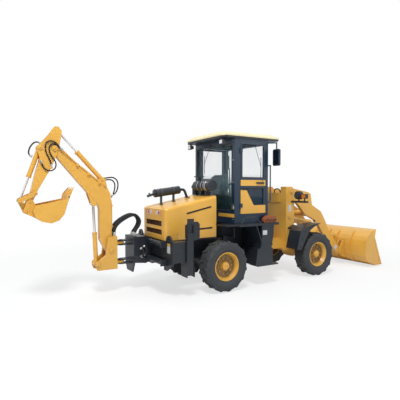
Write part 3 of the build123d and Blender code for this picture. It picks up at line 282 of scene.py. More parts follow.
def rounded(corners, radius):
    """A closed outline with each corner replaced by five points of a quadratic curve,
    (1-t)^2 before + 2t(1-t) corner + t^2 after, that starts and ends at a distance
    radius from it."""
    corner = np.asarray(corners, float)
    before = np.roll(corner, 1, axis=0) - corner
    after = np.roll(corner, -1, axis=0) - corner
    first = corner + before * (radius / np.linalg.norm(before, axis=1))[:, None]
    last = corner + after * (radius / np.linalg.norm(after, axis=1))[:, None]
    t = np.linspace(0, 1, 5)[None, :, None]
    curve = ((1 - t) ** 2 * first[:, None] + 2 * t * (1 - t) * corner[:, None]
             + t ** 2 * last[:, None])
    return curve.reshape(-1, corner.shape[1])


def panel(x0, x1, z0, z1, radius):
    """A rectangle with rounded corners, in the plane that plate is told."""
    return rounded([(x0, z0), (x1, z0), (x1, z1), (x0, z1)], radius)


def seal(outline, high, radius):
    """A rubber bead along a closed outline of three-dimensional points: each ring is
    the point + radius * (cos t * outward + sin t * out of the outline's plane), with
    high as the plane's normal."""
    path = np.asarray(outline, float)
    tangent = np.roll(path, -1, axis=0) - np.roll(path, 1, axis=0)
    tangent /= np.linalg.norm(tangent, axis=1)[:, None]
    high = np.asarray(high, float)
    side = np.cross(tangent, high)
    t = np.linspace(0, 2 * np.pi, THIN, endpoint=False)
    points = path[:, None] + radius * (np.cos(t)[None, :, None] * side[:, None]
                                       + np.sin(t)[None, :, None] * high)
    return points, grid_faces(len(path), THIN, close_rows=True, close_columns=True)


def bead(outline, level, way, radius, plane="yz"):
    """A seal along a flat outline, at a level on the normal of its plane."""
    fill = np.full(len(outline), float(level))
    if plane == "yz":
        return seal(np.column_stack((X0 + fill, outline)), (way, 0, 0), radius)
    return seal(np.column_stack((outline[:, 0] + X0, fill, outline[:, 1])), (0, way, 0), radius)


def route(points):
    """The line of a hose: a spline of order 3 on the given control points, which starts
    and ends at the outer ones, read back as even points along it."""
    points = np.asarray(points, float)
    line = bpy.data.curves.new("route", "CURVE")
    line.dimensions = "3D"
    spline = line.splines.new("NURBS")
    spline.points.add(len(points) - 1)
    weighted = np.column_stack((points, np.ones(len(points))))
    spline.points.foreach_set("co", weighted.ravel())
    spline.order_u = 3
    spline.use_endpoint_u = True
    spline.resolution_u = 14
    holder = bpy.data.objects.new("route", line)
    mesh = bpy.data.meshes.new_from_object(holder)
    read = np.empty(len(mesh.vertices) * 3)
    mesh.vertices.foreach_get("co", read)
    bpy.data.objects.remove(holder)
    bpy.data.meshes.remove(mesh)
    bpy.data.curves.remove(line)
    return read.reshape(-1, 3)


def course(*places):
    """A route through control points that are given from the rear axle."""
    return route([spot(*place) for place in places])


def fitting(end, direction, radius, shell=1.45, flats=3.6):
    """A crimped hose end: a ferrule with two grooves that tapers to the hose, on a
    six-sided nut, turned about the hose's direction at its end. Shell and flats are the
    ferrule's radius and the nut's width, as multiples of the hose's radius."""
    r, length = radius * shell, radius * 4.2
    profile = [(0, 0), (0, r * 0.9), (length * 0.08, r), (length * 0.3, r),
               (length * 0.34, r * 0.88), (length * 0.38, r), (length * 0.6, r),
               (length * 0.64, r * 0.88), (length * 0.68, r), (length * 0.92, r),
               (length, radius), (length, 0)]
    nut = hex_heads([end], direction, radius * flats, radius * 1.3)
    return joined([turned(profile, end, direction, 20), nut])


def length_of(path):
    """Length of a line of points."""
    return float(np.linalg.norm(np.diff(path, axis=0), axis=1).sum())


def circle_of(centre, axis, radius, count, start=0.0):
    """Points spaced evenly on a circle about an axis."""
    _, u, v = across(axis)
    t = start + np.linspace(0, 2 * np.pi, count, endpoint=False)
    return np.asarray(centre) + radius * (np.cos(t)[:, None] * u + np.sin(t)[:, None] * v)


# ---------------------------------------------------------------- materials
OUTPUT = {
    "TexCoord": "Object", "TexNoise": "Fac", "TexWave": "Fac", "TexVoronoi": "Distance",
    "ValToRGB": "Color", "MapRange": "Result", "Mix": "Result", "Math": "Value",
    "VectorMath": "Value", "Bump": "Normal", "SeparateXYZ": "Z", "Emission": "Emission",
    "MixShader": "Shader", "Background": "Background", "LightPath": "Is Camera Ray",
}


def builder(tree):
    """A function that adds a node to a tree, or fills in one that is there."""

    def node(kind, *sockets, out=None, **values):
        """Values set a node's inputs by name, with _ for a space, or its settings, and
        sockets its inputs in their order; outputs are linked. Gives one output back."""
        made = tree.nodes.new("ShaderNode" + kind) if isinstance(kind, str) else kind
        for key, value in (*values.items(), *enumerate(sockets)):
            place = key if isinstance(key, int) else key.replace("_", " ")
            if isinstance(key, str) and place not in made.inputs:
                setattr(made, key, value)
            elif isinstance(value, bpy.types.NodeSocket):
                tree.links.new(value, made.inputs[place])
            else:
                made.inputs[place].default_value = value
        return made.outputs[out or OUTPUT[kind]] if isinstance(kind, str) else made

    return node


def shader(name):
    """A new material, its surface shader and the function that adds nodes to it."""
    material = bpy.data.materials.new(name)
    material.use_nodes = True
    tree = material.node_tree
    return material, tree.nodes["Principled BSDF"], builder(tree)


def mottled(node, colour, low, high, scale, detail=4.0):
    """Place, noise, and a colour that drifts between two shades over the noise."""
    place = node("TexCoord")
    noise = node("TexNoise", Scale=scale, Detail=detail, Roughness=0.55, Vector=place)
    shade = node("ValToRGB", Fac=noise)
    ends = shade.node.color_ramp.elements
    for end, position, factor in zip(ends, (0.32, 0.68), (low, high)):
        end.position = position
        end.color = (*[min(channel * factor, 1) for channel in colour], 1)
    return place, noise, shade


def paint(name, colour, roughness=0.36, spread=0.06, specular=0.5):
    """Sprayed paint: slight drift of colour, fine orange peel, dust low on the machine."""
    material, surface, node = shader(name)
    place, noise, shade = mottled(node, colour, 1 - spread, 1 + spread, 1.7)
    low_down = node("MapRange", From_Min=0.75, From_Max=0.0,
                    Value=node("SeparateXYZ", Vector=place))
    specks = node("TexNoise", Scale=9.0, Detail=8.0, Roughness=0.7, Vector=place)
    amount = node("Math", low_down, specks, operation="MULTIPLY")
    dust = node("Math", amount, 0.25, operation="MULTIPLY")
    base = node("Mix", data_type="RGBA", Factor=dust, A=shade, B=(0.17, 0.14, 0.11, 1))
    gloss = node("MapRange", To_Min=roughness - 0.05, To_Max=roughness + 0.09, Value=noise)
    peel = node("TexNoise", Scale=420.0, Detail=2.0, Vector=place)
    node(surface, Base_Color=base, Roughness=gloss, Specular_IOR_Level=specular,
         Coat_Weight=specular / 2, Coat_Roughness=0.18,
         Normal=node("Bump", Strength=0.03, Distance=0.001, Height=peel))
    return material


def dished(name, colour):
    """Rim paint that falls into shade towards the disc, where |Y| is small."""
    material = paint(name, [channel * 0.95 for channel in colour])
    node = builder(material.node_tree)
    surface = material.node_tree.nodes["Principled BSDF"]
    painted = surface.inputs["Base Color"].links[0].from_socket
    across_y = node("SeparateXYZ", Vector=node("TexCoord"), out="Y")
    share = node("MapRange", From_Min=0.765, From_Max=0.822, To_Min=0.30,
                 Value=node("Math", across_y, operation="ABSOLUTE"))
    node(surface, Base_Color=node("Mix", data_type="RGBA", blend_type="MULTIPLY", Factor=1.0,
                                  A=painted, B=share))
    return material


def rubber(name, colour, scale=60.0):
    """Moulded rubber: dull, faintly mottled, with a fine pitted grain."""
    material, surface, node = shader(name)
    place, _, shade = mottled(node, colour, 0.8, 1.35, 5.0, 6.0)
    pits = node("TexNoise", Scale=scale * 6, Detail=6.0, Vector=place)
    node(surface, Base_Color=shade, Roughness=0.62, Sheen_Weight=0.15, Specular_IOR_Level=0.24,
         Normal=node("Bump", Strength=0.25, Distance=0.0015, Height=pits))
    return material


def metal(name, colour, roughness, streak=0.06):
    """Bare or plated metal with faint streaks in its gloss."""
    material, surface, node = shader(name)
    _, noise, shade = mottled(node, colour, 0.93, 1.04, 30.0)
    gloss = node("MapRange", To_Min=max(roughness - streak, 0.03), To_Max=roughness + streak,
                 Value=noise)
    node(surface, Base_Color=shade, Metallic=1.0, Roughness=gloss)
    return material


def plastic(name, colour, roughness=0.5, grain=900.0):
    """Moulded plastic with a leather-like grain."""
    material, surface, node = shader(name)
    place, _, shade = mottled(node, colour, 0.9, 1.15, 8.0)
    cells = node("TexVoronoi", Scale=grain, Vector=place)
    node(surface, Base_Color=shade, Roughness=roughness,
         Normal=node("Bump", Strength=0.12, Distance=0.0005, Height=cells))
    return material


def glass(name, colour, alpha, low_colour, low_alpha, split, blur):
    """Tinted pane with a faint film of dust: clear by transparency above the height
    split, darker and less clear below it, blending over the height blur."""
    material, surface, node = shader(name)
    place, noise, shade = mottled(node, colour, 0.92, 1.05, 2.0)
    above = node("MapRange", From_Min=split - blur / 2, From_Max=split + blur / 2,
                 Value=node("SeparateXYZ", Vector=place))
    film = node("MapRange", To_Min=-0.03, To_Max=0.03, Value=noise)
    clear = node("MapRange", To_Min=low_alpha, To_Max=alpha, Value=above)
    node(surface, Roughness=0.04, Alpha=node("Math", clear, film, operation="ADD"),
         Base_Color=node("Mix", data_type="RGBA", Factor=above, A=(*low_colour, 1), B=shade))
    return material


def lens(name, colour):
    """Moulded lamp lens with fine upright flutes."""
    material, surface, node = shader(name)
    place, _, shade = mottled(node, colour, 0.85, 1.15, 12.0)
    flutes = node("TexWave", Scale=260.0, bands_direction="Y", Vector=place)
    node(surface, Base_Color=shade, Roughness=0.12, Coat_Weight=0.6,
         Normal=node("Bump", Strength=0.35, Distance=0.001, Height=flutes))
    return material


def woven(name, colour):
    """Woven seat cloth: crossed threads as bump and shade, with a soft sheen."""
    material, surface, node = shader(name)
    place, _, shade = mottled(node, colour, 0.75, 1.3, 14.0, 6.0)
    threads = [node("TexWave", Scale=170.0, bands_direction=direction, Vector=place)
               for direction in ("X", "Y")]
    cross = node("Math", *threads, operation="MULTIPLY")
    node(surface, Base_Color=shade, Roughness=0.85, Sheen_Weight=0.4,
         Normal=node("Bump", Strength=0.4, Distance=0.001, Height=cross))
    return material


# finish: slot, maker, colour or the setting that holds it, the maker's other values;
# the first finish of a slot is the one that the solids of that slot wear
LOOKS = {
    "body_yellow": ("yellow_paint", paint, "yellow"),
    "rim_yellow": ("rim_paint", dished, "yellow"),
    "chassis_grey": ("dark_paint", paint, "dark", 0.40, 0.12, 0.34),
    "cab_blue": ("cab_paint", paint, "cab", 0.30, 0.1, 0.36),
    "roof_cream": ("roof_paint", paint, "roof", 0.4, 0.04),
    "exhaust_black": ("exhaust_paint", paint, (0.018, 0.023, 0.031), 0.45, 0.2, 0.4),
    "tyre_rubber": ("tyre_rubber", rubber, "rubber"),
    "black_plastic": ("black_plastic", plastic, (0.016, 0.017, 0.019)),
    "hose_rubber": ("black_plastic", rubber, (0.012, 0.013, 0.015), 120.0),
    "deep_black": ("black_plastic", plastic, (0.006, 0.006, 0.007), 0.7),
    "floor_mat": ("black_plastic", rubber, (0.02, 0.02, 0.022), 90.0),
    "chrome_rod": ("chrome_rod", metal, (0.78, 0.79, 0.80), 0.1),
    "zinc": ("chrome_rod", metal, (0.55, 0.55, 0.53), 0.32),
    "steel_bright": ("chrome_rod", metal, (0.62, 0.63, 0.64), 0.22),
    "mirror_face": ("chrome_rod", metal, (0.10, 0.15, 0.18), 0.06, 0.01),
    "cast_grey": ("engine_metal", metal, (0.10, 0.10, 0.105), 0.6),
    "bare_aluminium": ("engine_metal", metal, (0.42, 0.42, 0.41), 0.5),
    # painted shade: dark brown for the shaded inside of the yellow bonnet, worn by the rear grille
    # and the radiator screen
    "rust_shade": ("engine_metal", plastic, (0.085, 0.028, 0.008), 0.7),
    "rust_orange": ("engine_metal", paint, (0.30, 0.075, 0.012), 0.5),
    "pane": ("clear_glass", glass, (0.30, 0.50, 0.56), 0.09, (0.02, 0.05, 0.055), 0.55, 2.0, 0.5),
    "door_pane": ("clear_glass", glass, (0.5, 0.65, 0.7), 0.03, (0.008, 0.026, 0.048), 0.90,
                  2.05, 0.04),
    "lens_clear": ("lamp_lens", lens, (0.72, 0.74, 0.76)),
    "lens_red": ("lamp_lens", lens, (0.55, 0.03, 0.02)),
    "lens_amber": ("lamp_lens", lens, (0.85, 0.22, 0.02)),
    "blank_sign": ("lamp_lens", plastic, (0.52, 0.53, 0.54), 0.4, 300.0),
    "seat_cloth": ("seat_cover", woven, (0.022, 0.023, 0.026)),
}
SLOT_FINISH = {slot: name for name, (slot, *_) in reversed(LOOKS.items())}
# the bonnet's rear grille wears the dark brown of painted shade
NODE_FINISH = {"door_glass_left": "door_pane", "door_glass_right": "door_pane",
               "hood_grilles": "rust_shade"}


def finish(name):
    """The named finish, made once."""
    found = bpy.data.materials.get(name)
    if found:
        return found
    _, maker, colour, *rest = LOOKS[name]
    if isinstance(colour, str):
        colour = getattr(bpy.context.scene.loader_finishes, colour)
    return maker(name, colour, *rest)


class LOADER_OT_finish_nodes(bpy.types.Operator):
    """Give every carried-over solid its finish"""

    bl_idname = "loader.finish_nodes"
    bl_label = "Finish Solids"

    def execute(self, context):
        slots = {row["node"]: row["material_slot"] for row in frame["record"]["subparts"]}
        for name, thing in NODES.items():
            thing.data.materials.clear()
            thing.data.materials.append(finish(NODE_FINISH.get(name, SLOT_FINISH[slots[name]])))
        return {"FINISHED"}


# ---------------------------------------------------------------- fittings
class LOADER_OT_wheel_trim(bpy.types.Operator):
    """Nuts, hub bolts, valve and raised sidewall rings on each wheel"""

    bl_idname = "loader.wheel_trim"
    bl_label = "Wheel Trim"

    def execute(self, context):
        disc_face, hub_end = 0.034, 0.098       # outward from the wheel's middle plane
        nut_circle, hub_circle = 0.150, 0.034   # radii of the circles that the bolts stand on
        for corner in ("rear_left", "rear_right", "front_left", "front_right"):
            body = "wheel_" + corner
            centre = middle("tyre_" + corner)
            out = np.array((0, np.sign(centre[1]), 0))
            face, end = centre + out * disc_face, centre + out * hub_end
            bolts = circle_of(face, out, nut_circle, 10)
            nuts = hex_heads(bolts, out, fittings().nut, 0.020)
            studs = [disc(place, out, 0.009, 0.030, 12) for place in bolts]
            washers = [disc(place, out, 0.024, 0.004, 20) for place in bolts]
            hub = hex_heads(circle_of(end, out, hub_circle, 6), out, 0.020, 0.010)
            nuts = joined([nuts, *studs, *washers, hub])
            piece(f"wheel_nuts_{corner}", nuts, "rim_yellow", body)
            stem = centre + out * 0.05 + np.array((0, 0, 0.205))
            valve = tube(route([stem, stem + out * 0.02 + (0, 0, 0.004),
                                stem + out * 0.045 + (0, 0, 0.02)]), 0.005, up=(1, 0, 0))
            piece(f"tyre_valve_{corner}", valve, "hose_rubber", body, smooth=True)
            # offset from the middle plane, radius and thickness of each raised ring
            rings = [ring(centre, out, side * offset, radius, thick, 96)
                     for side in (1, -1)
                     for offset, radius, thick in ((0.1335, 0.288, 0.0045), (0.1605, 0.338, 0.004),
                                                   (0.1655, 0.390, 0.0045))]
            piece(f"tyre_rings_{corner}", joined(rings), "tyre_rubber", body, smooth=True)
        return {"FINISHED"}


class LOADER_OT_door_trim(bpy.types.Operator):
    """Coloured door panels, grips and window seals on both doors"""

    bl_idname = "loader.door_trim"
    bl_label = "Door Trim"

    def execute(self, context):
        face, proud = 0.725, 0.003      # the door's outer face, and how far panels stand off it
        band = [(0.409, 1.985), (1.041, 1.985), (1.041, 2.100), (0.409, 2.100)]
        sweep_panel = [(0.409, 1.440), (1.041, 1.440), (1.041, 1.600), (0.735, 1.600),
                       (0.553, 1.905), (0.409, 1.905)]
        window = [(0.445, 2.150), (0.990, 2.150), (0.990, 2.790), (0.445, 2.790)]
        low_window = [(0.560, 1.905), (0.735, 1.615), (0.990, 1.615), (0.990, 1.940),
                      (0.445, 1.940), (0.445, 1.905)]
        for name, side in (("right", -1), ("left", 1)):
            body = "door_" + name
            near, far = sorted((side * (face - 0.001), side * (face + proud)))
            panels = joined([plate(rounded(outline, 0.012), near, far)
                             for outline in (band, sweep_panel)])
            piece(f"door_panels_{name}", panels, "body_yellow", body, bevel=0.001)
            seals = [bead(rounded(outline, 0.020), side * face, side, 0.007, "xz")
                     for outline in (window, low_window)]
            piece(f"door_seals_{name}", joined(seals), "hose_rubber", body, smooth=True)
            low, high = sorted((side * (face + 0.018), side * (face + 0.026)))
            grip = plate(panel(0.792, 0.993, 2.024, 2.060, 0.010), low, high)
            lock = disc(spot(0.965, side * (face + proud), 2.085), (0, side, 0), 0.011, 0.006, 24)
            piece(f"door_grip_{name}", joined([grip, lock]), "black_plastic", body, bevel=0.002)
        return {"FINISHED"}


class LOADER_OT_cab_trim(bpy.types.Operator):
    """Stripes below the rear window, window seals, wipers, mirror faces and bolts"""

    bl_idname = "loader.cab_trim"
    bl_label = "Cab Trim"

    def execute(self, context):
        rear, front = 0.260, 1.110      # x of the rear and of the front window
        stripe = plate([(0.19, 1.372), (0.72, 1.372), (0.72, 1.440), (0.19, 1.440)],
                       rear - 0.003, rear + 0.001, "yz")
        piece("cab_stripes", mirrored(stripe), "body_yellow", bevel=0.001)
        seals = [bead(panel(-half, half, low, high, 0.06), x, way, 0.009)
                 for x, half, low, high, way in ((rear, 0.640, 1.500, 2.800, -1),
                                                 (front, 0.660, 1.440, 2.820, 1))]
        piece("window_seals", joined(seals), "hose_rubber", smooth=True)
        wipers = []
        for y, way in ((-0.30, -1), (0.30, 1)):
            hub = spot(front + 0.002, y, 2.845)
            tip = spot(front + 0.016, y + way * 0.20, 2.36)
            wipers += [disc(hub, (1, 0, 0), 0.020, 0.020, 24),
                       tube([hub + (0.014, 0, 0), (hub + tip) / 2 + (0.008, 0, 0), tip],
                            0.005, 8),
                       tube([tip + (-0.012, 0, 0.21), tip + (-0.010, 0, 0),
                             tip + (-0.012, 0, -0.21)], 0.006, 8)]
        hub, tip = spot(rear - 0.002, 0.10, 2.825), spot(rear - 0.014, 0.34, 2.44)
        wipers += [disc(hub, (-1, 0, 0), 0.020, 0.018, 24),
                   tube([hub - (0.012, 0, 0), tip], 0.005, 8),
                   tube([tip + (0.010, 0, 0.19), tip + (0.010, 0, -0.19)], 0.006, 8)]
        piece("wipers", joined(wipers), "black_plastic", smooth=True)
        outline = panel(0.780, 0.940, 2.406, 2.709, 0.03)
        piece("mirror_faces", mirrored(plate(outline, 1.1955, 1.1985, "yz")), "mirror_face")
        piece("mirror_rims", mirrored(bead(outline, 1.197, -1, 0.006)), "black_plastic",
              smooth=True)
        places = [spot(rear, side * 0.682, z) for side in (1, -1)
                  for z in (1.34, 1.62, 2.05, 2.48, 2.86)]
        catch = plate(panel(0.655, 0.715, 1.530, 1.600, 0.012), rear - 0.022, rear, "yz")
        piece("cab_bolts", hex_heads(places, (-1, 0, 0), 0.018, 0.008), "zinc")
        piece("door_catches", mirrored(catch), "zinc", bevel=0.003)
        return {"FINISHED"}


class LOADER_OT_hood_trim(bpy.types.Operator):
    """Black liners behind the side slits, latch, radiator and a screen in painted shade behind the
    rear slats, lamp lenses
    """

    bl_idname = "loader.hood_trim"
    bl_label = "Bonnet Trim"

    def execute(self, context):
        liner = plate([(-0.665, 1.150), (-0.085, 1.150), (-0.085, 1.600), (-0.665, 1.496)],
                      0.462, 0.4752)
        slits = (((-0.650, 1.462), (-0.122, 1.575), (-0.122, 1.592), (-0.650, 1.480)),
                 ((-0.392, 1.160), (-0.099, 1.172), (-0.099, 1.190), (-0.392, 1.178)))
        lips = [bead(rounded(corners, 0.006), 0.4895, 1, 0.0075, "xz") for corners in slits]
        piece("slit_lips", mirrored(joined(lips)), "hose_rubber", smooth=True)
        piece("hood_liners", mirrored(liner), "deep_black")
        recess = plate(panel(-0.646, -0.504, 1.272, 1.366, 0.015), 0.475, 0.486)
        knob = disc(spot(-0.540, 0.486, 1.318), (0, 1, 0), 0.020, 0.008, 32)
        lever = brick((-0.625, 0.486, 1.306), (-0.540, 0.492, 1.330))
        piece("hood_latches", mirrored(joined([recess, knob, lever])), "black_plastic",
              bevel=0.002)
        fins = [brick((-1.035, y, 1.085), (-1.012, y + 0.0035, 1.345))
                for y in np.arange(-0.345, -0.105, 0.009)]
        tanks = [brick((-1.042, -0.355, z), (-1.004, -0.098, z + 0.022))
                 for z in (1.066, 1.345)]
        piece("radiator_fins", joined(fins + tanks), "bare_aluminium")
        # dark brown screen and slats behind the radiator: painted shade of the bonnet's inside
        screen = [brick((-1.0, -0.36, 1.06), (-0.995, 0.36, 1.38))]
        screen += [brick((-1.004, -0.352, z), (-0.999, 0.352, z + 0.004))
                   for z in np.arange(1.076, 1.366, 0.016)]
        screen += [brick((-1.006, y, 1.064), (-0.999, y + 0.012, 1.376))
                   for y in (-0.358, -0.006, 0.346)]
        piece("radiator_screen", joined(screen), "rust_shade")
        red = disc(spot(-1.0975, 0.225, 1.490), (-1, 0, 0), 0.036, 0.007, 40, 0.004)
        amber = plate(panel(0.296, 0.354, 1.456, 1.524, 0.012), -1.1035, -1.0975, "yz")
        bezel = bead(panel(0.0905, 0.3595, 1.4485, 1.5315, 0.012), -1.100, -1, 0.0045)
        piece("tail_lens_red", mirrored(red), "lens_red", smooth=True)
        piece("tail_lens_amber", mirrored(amber), "lens_amber", bevel=0.002)
        piece("tail_lamp_rims", mirrored(bezel), "body_yellow", smooth=True)
        for name, x in (("rear", -0.86), ("front", -0.06)):
            places = [spot(x, 0.4898, z) for z in (1.045, 1.10)]
            piece(f"hood_bolts_{name}", mirrored(hex_heads(places, (0, 1, 0), 0.018, 0.007)),
                  "zinc")
        return {"FINISHED"}


class LOADER_OT_intake_trim(bpy.types.Operator):
    """Clamps and end rims on the exhaust drum and the air cleaner"""

    bl_idname = "loader.intake_trim"
    bl_label = "Exhaust and Intake Trim"

    def execute(self, context):
        rear, front = spot(-1.010, 0.130, 1.838), spot(-0.500, 0.130, 1.905)
        axis = (front - rear) / np.linalg.norm(front - rear)
        length = float(np.linalg.norm(front - rear))
        rims = [ring(rear, axis, offset, 0.0775, 0.005) for offset in (0.004, length - 0.004)]
        caps = [turned([(0, 0), (0, 0.060), (0.012, 0.074), (0.020, 0.074), (0.020, 0)],
                       end, way, 48) for end, way in ((rear, -axis), (front, axis))]
        piece("muffler_ends", joined(rims + caps), "exhaust_black", smooth=True)
        straps = [hoop(rear, axis, offset, 0.0778, 0.0805, 0.024) for offset in (0.118, 0.378)]
        clamp = [hoop(rear - axis * 0.155, axis, 0.03, 0.0235, 0.0285, 0.016, 32)]
        piece("muffler_straps", joined(straps + clamp), "cast_grey", smooth=True)
        x, z = -0.062, 1.985
        bands = [hoop(spot(x, y, z), (0, 1, 0), 0, 0.1095, 0.1125, 0.012)
                 for y in (-0.337, -0.187, -0.047)]
        bands += [hoop(spot(x, y, z), (0, 1, 0), 0, 0.1015, 0.1045, 0.007)
                  for y in (-0.305, -0.280, -0.255)]
        bands.append(hoop(spot(x, 0.160, z - 0.02), (0, 1, 0), 0, 0.0515, 0.0555, 0.014, 40))
        piece("cleaner_bands", joined(bands), "steel_bright", smooth=True)
        ridges = [ring(spot(x, -0.45, z), (0, -1, 0), 0.001, radius, 0.004)
                  for radius in (0.045, 0.075, 0.103)]
        ridges.append(disc(spot(x, -0.45, z), (0, -1, 0), 0.020, 0.010, 24))
        piece("cleaner_cap", joined(ridges), "exhaust_black", smooth=True)
        clips = [brick((x + 0.105 * c - 0.008, -0.405, z + 0.105 * s - 0.008),
                       (x + 0.105 * c + 0.008, -0.365, z + 0.105 * s + 0.008))
                 for c, s in ((-0.8, 0.6), (0.8, 0.6), (0.0, -1.0))]
        piece("cleaner_clips", joined(clips), "zinc", bevel=0.002)
        return {"FINISHED"}


class LOADER_OT_lamp_trim(bpy.types.Operator):
    """Lenses of the headlamps, side lamps and work lamps, and rims of the headlamps and work lamps
    """

    bl_idname = "loader.lamp_trim"
    bl_label = "Lamp Trim"

    def execute(self, context):
        lamp, ahead = spot(2.185, 0.600, 1.783), (1, 0, 0)
        piece("headlamp_lenses", mirrored(disc(lamp, ahead, 0.082, 0.006, 56, 0.012)),
              "lens_clear", "front_frame", smooth=True)
        piece("headlamp_rims", mirrored(ring(lamp, ahead, 0.002, 0.087, 0.006)),
              "steel_bright", "front_frame", smooth=True)
        outline = panel(0.715, 0.817, 1.724, 1.800, 0.02)
        sides = [plate(outline, x, x + 0.008, "yz") for x in (2.189, 2.088)]
        piece("side_lamp_lenses", mirrored(joined(sides)), "lens_amber", "front_frame",
              bevel=0.003)
        outline = panel(0.551, 0.649, 2.787, 2.859, 0.012)
        piece("work_lamp_lenses", mirrored(plate(outline, 0.023, 0.029, "yz")), "lens_clear",
              bevel=0.002)
        piece("work_lamp_rims", mirrored(bead(outline, 0.026, -1, 0.004)), "black_plastic",
              smooth=True)
        return {"FINISHED"}


class LOADER_OT_pin_collars(bpy.types.Operator):
    """Collars, keeper plates and grease nipples on the pins of arms, boom and buckets"""

    bl_idname = "loader.pin_collars"
    bl_label = "Pin Collars"

    def execute(self, context):
        # name, body, x and z of the pin, y of its middle, half its length, collar's radius
        pins = (("arm", "front_frame", 2.110, 1.860, 0, 0.418, 0.050),
                ("lift_foot", "front_frame", 2.035, 1.290, 0, 0.418, 0.042),
                ("bucket", "loader_bucket", 3.850, 0.350, 0, 0.3985, 0.046),
                ("boom", "swing_post", -1.860, 0.800, RIG_Y, 0.156, 0.048),
                ("boom_foot", "swing_post", -2.105, 0.560, RIG_Y, 0.156, 0.040),
                ("stick", "stick", -2.805, 2.612, RIG_Y, 0.096, 0.048),
                ("dig_foot", "stick", -3.035, 2.610, RIG_Y, 0.094, 0.036),
                ("dig_ear", "digging_bucket", -3.262, 1.560, RIG_Y, 0.110, 0.032),
                ("link", "guide_link", -3.120, 1.850, RIG_Y, 0.129, 0.030))
        nipple = ((0, 0), (0, 0.005), (0.008, 0.005), (0.010, 0.003), (0.014, 0.004),
                  (0.017, 0.002), (0.017, 0))
        for name, body, x, z, y, half, radius in pins:
            shapes, nipples = [], []
            for way in (-1, 1):
                out = np.array((0, way, 0))
                face = spot(x, y + way * half, z)
                keeper = face + out * 0.009
                shapes += [disc(face, out, radius, 0.009, 40),
                           disc(keeper, out, radius * 0.55, 0.004, 32, 0.002),
                           hex_heads(circle_of(keeper, out, radius * 0.74, 2, 0.6), out, 0.016,
                                     0.007)]
                nipples.append(turned(nipple, face + out * 0.013, out, 12))
            piece(f"pin_collars_{name}", joined(shapes), "body_yellow", body)
            piece(f"grease_nipples_{name}", joined(nipples), "zinc", body, smooth=True)
        return {"FINISHED"}


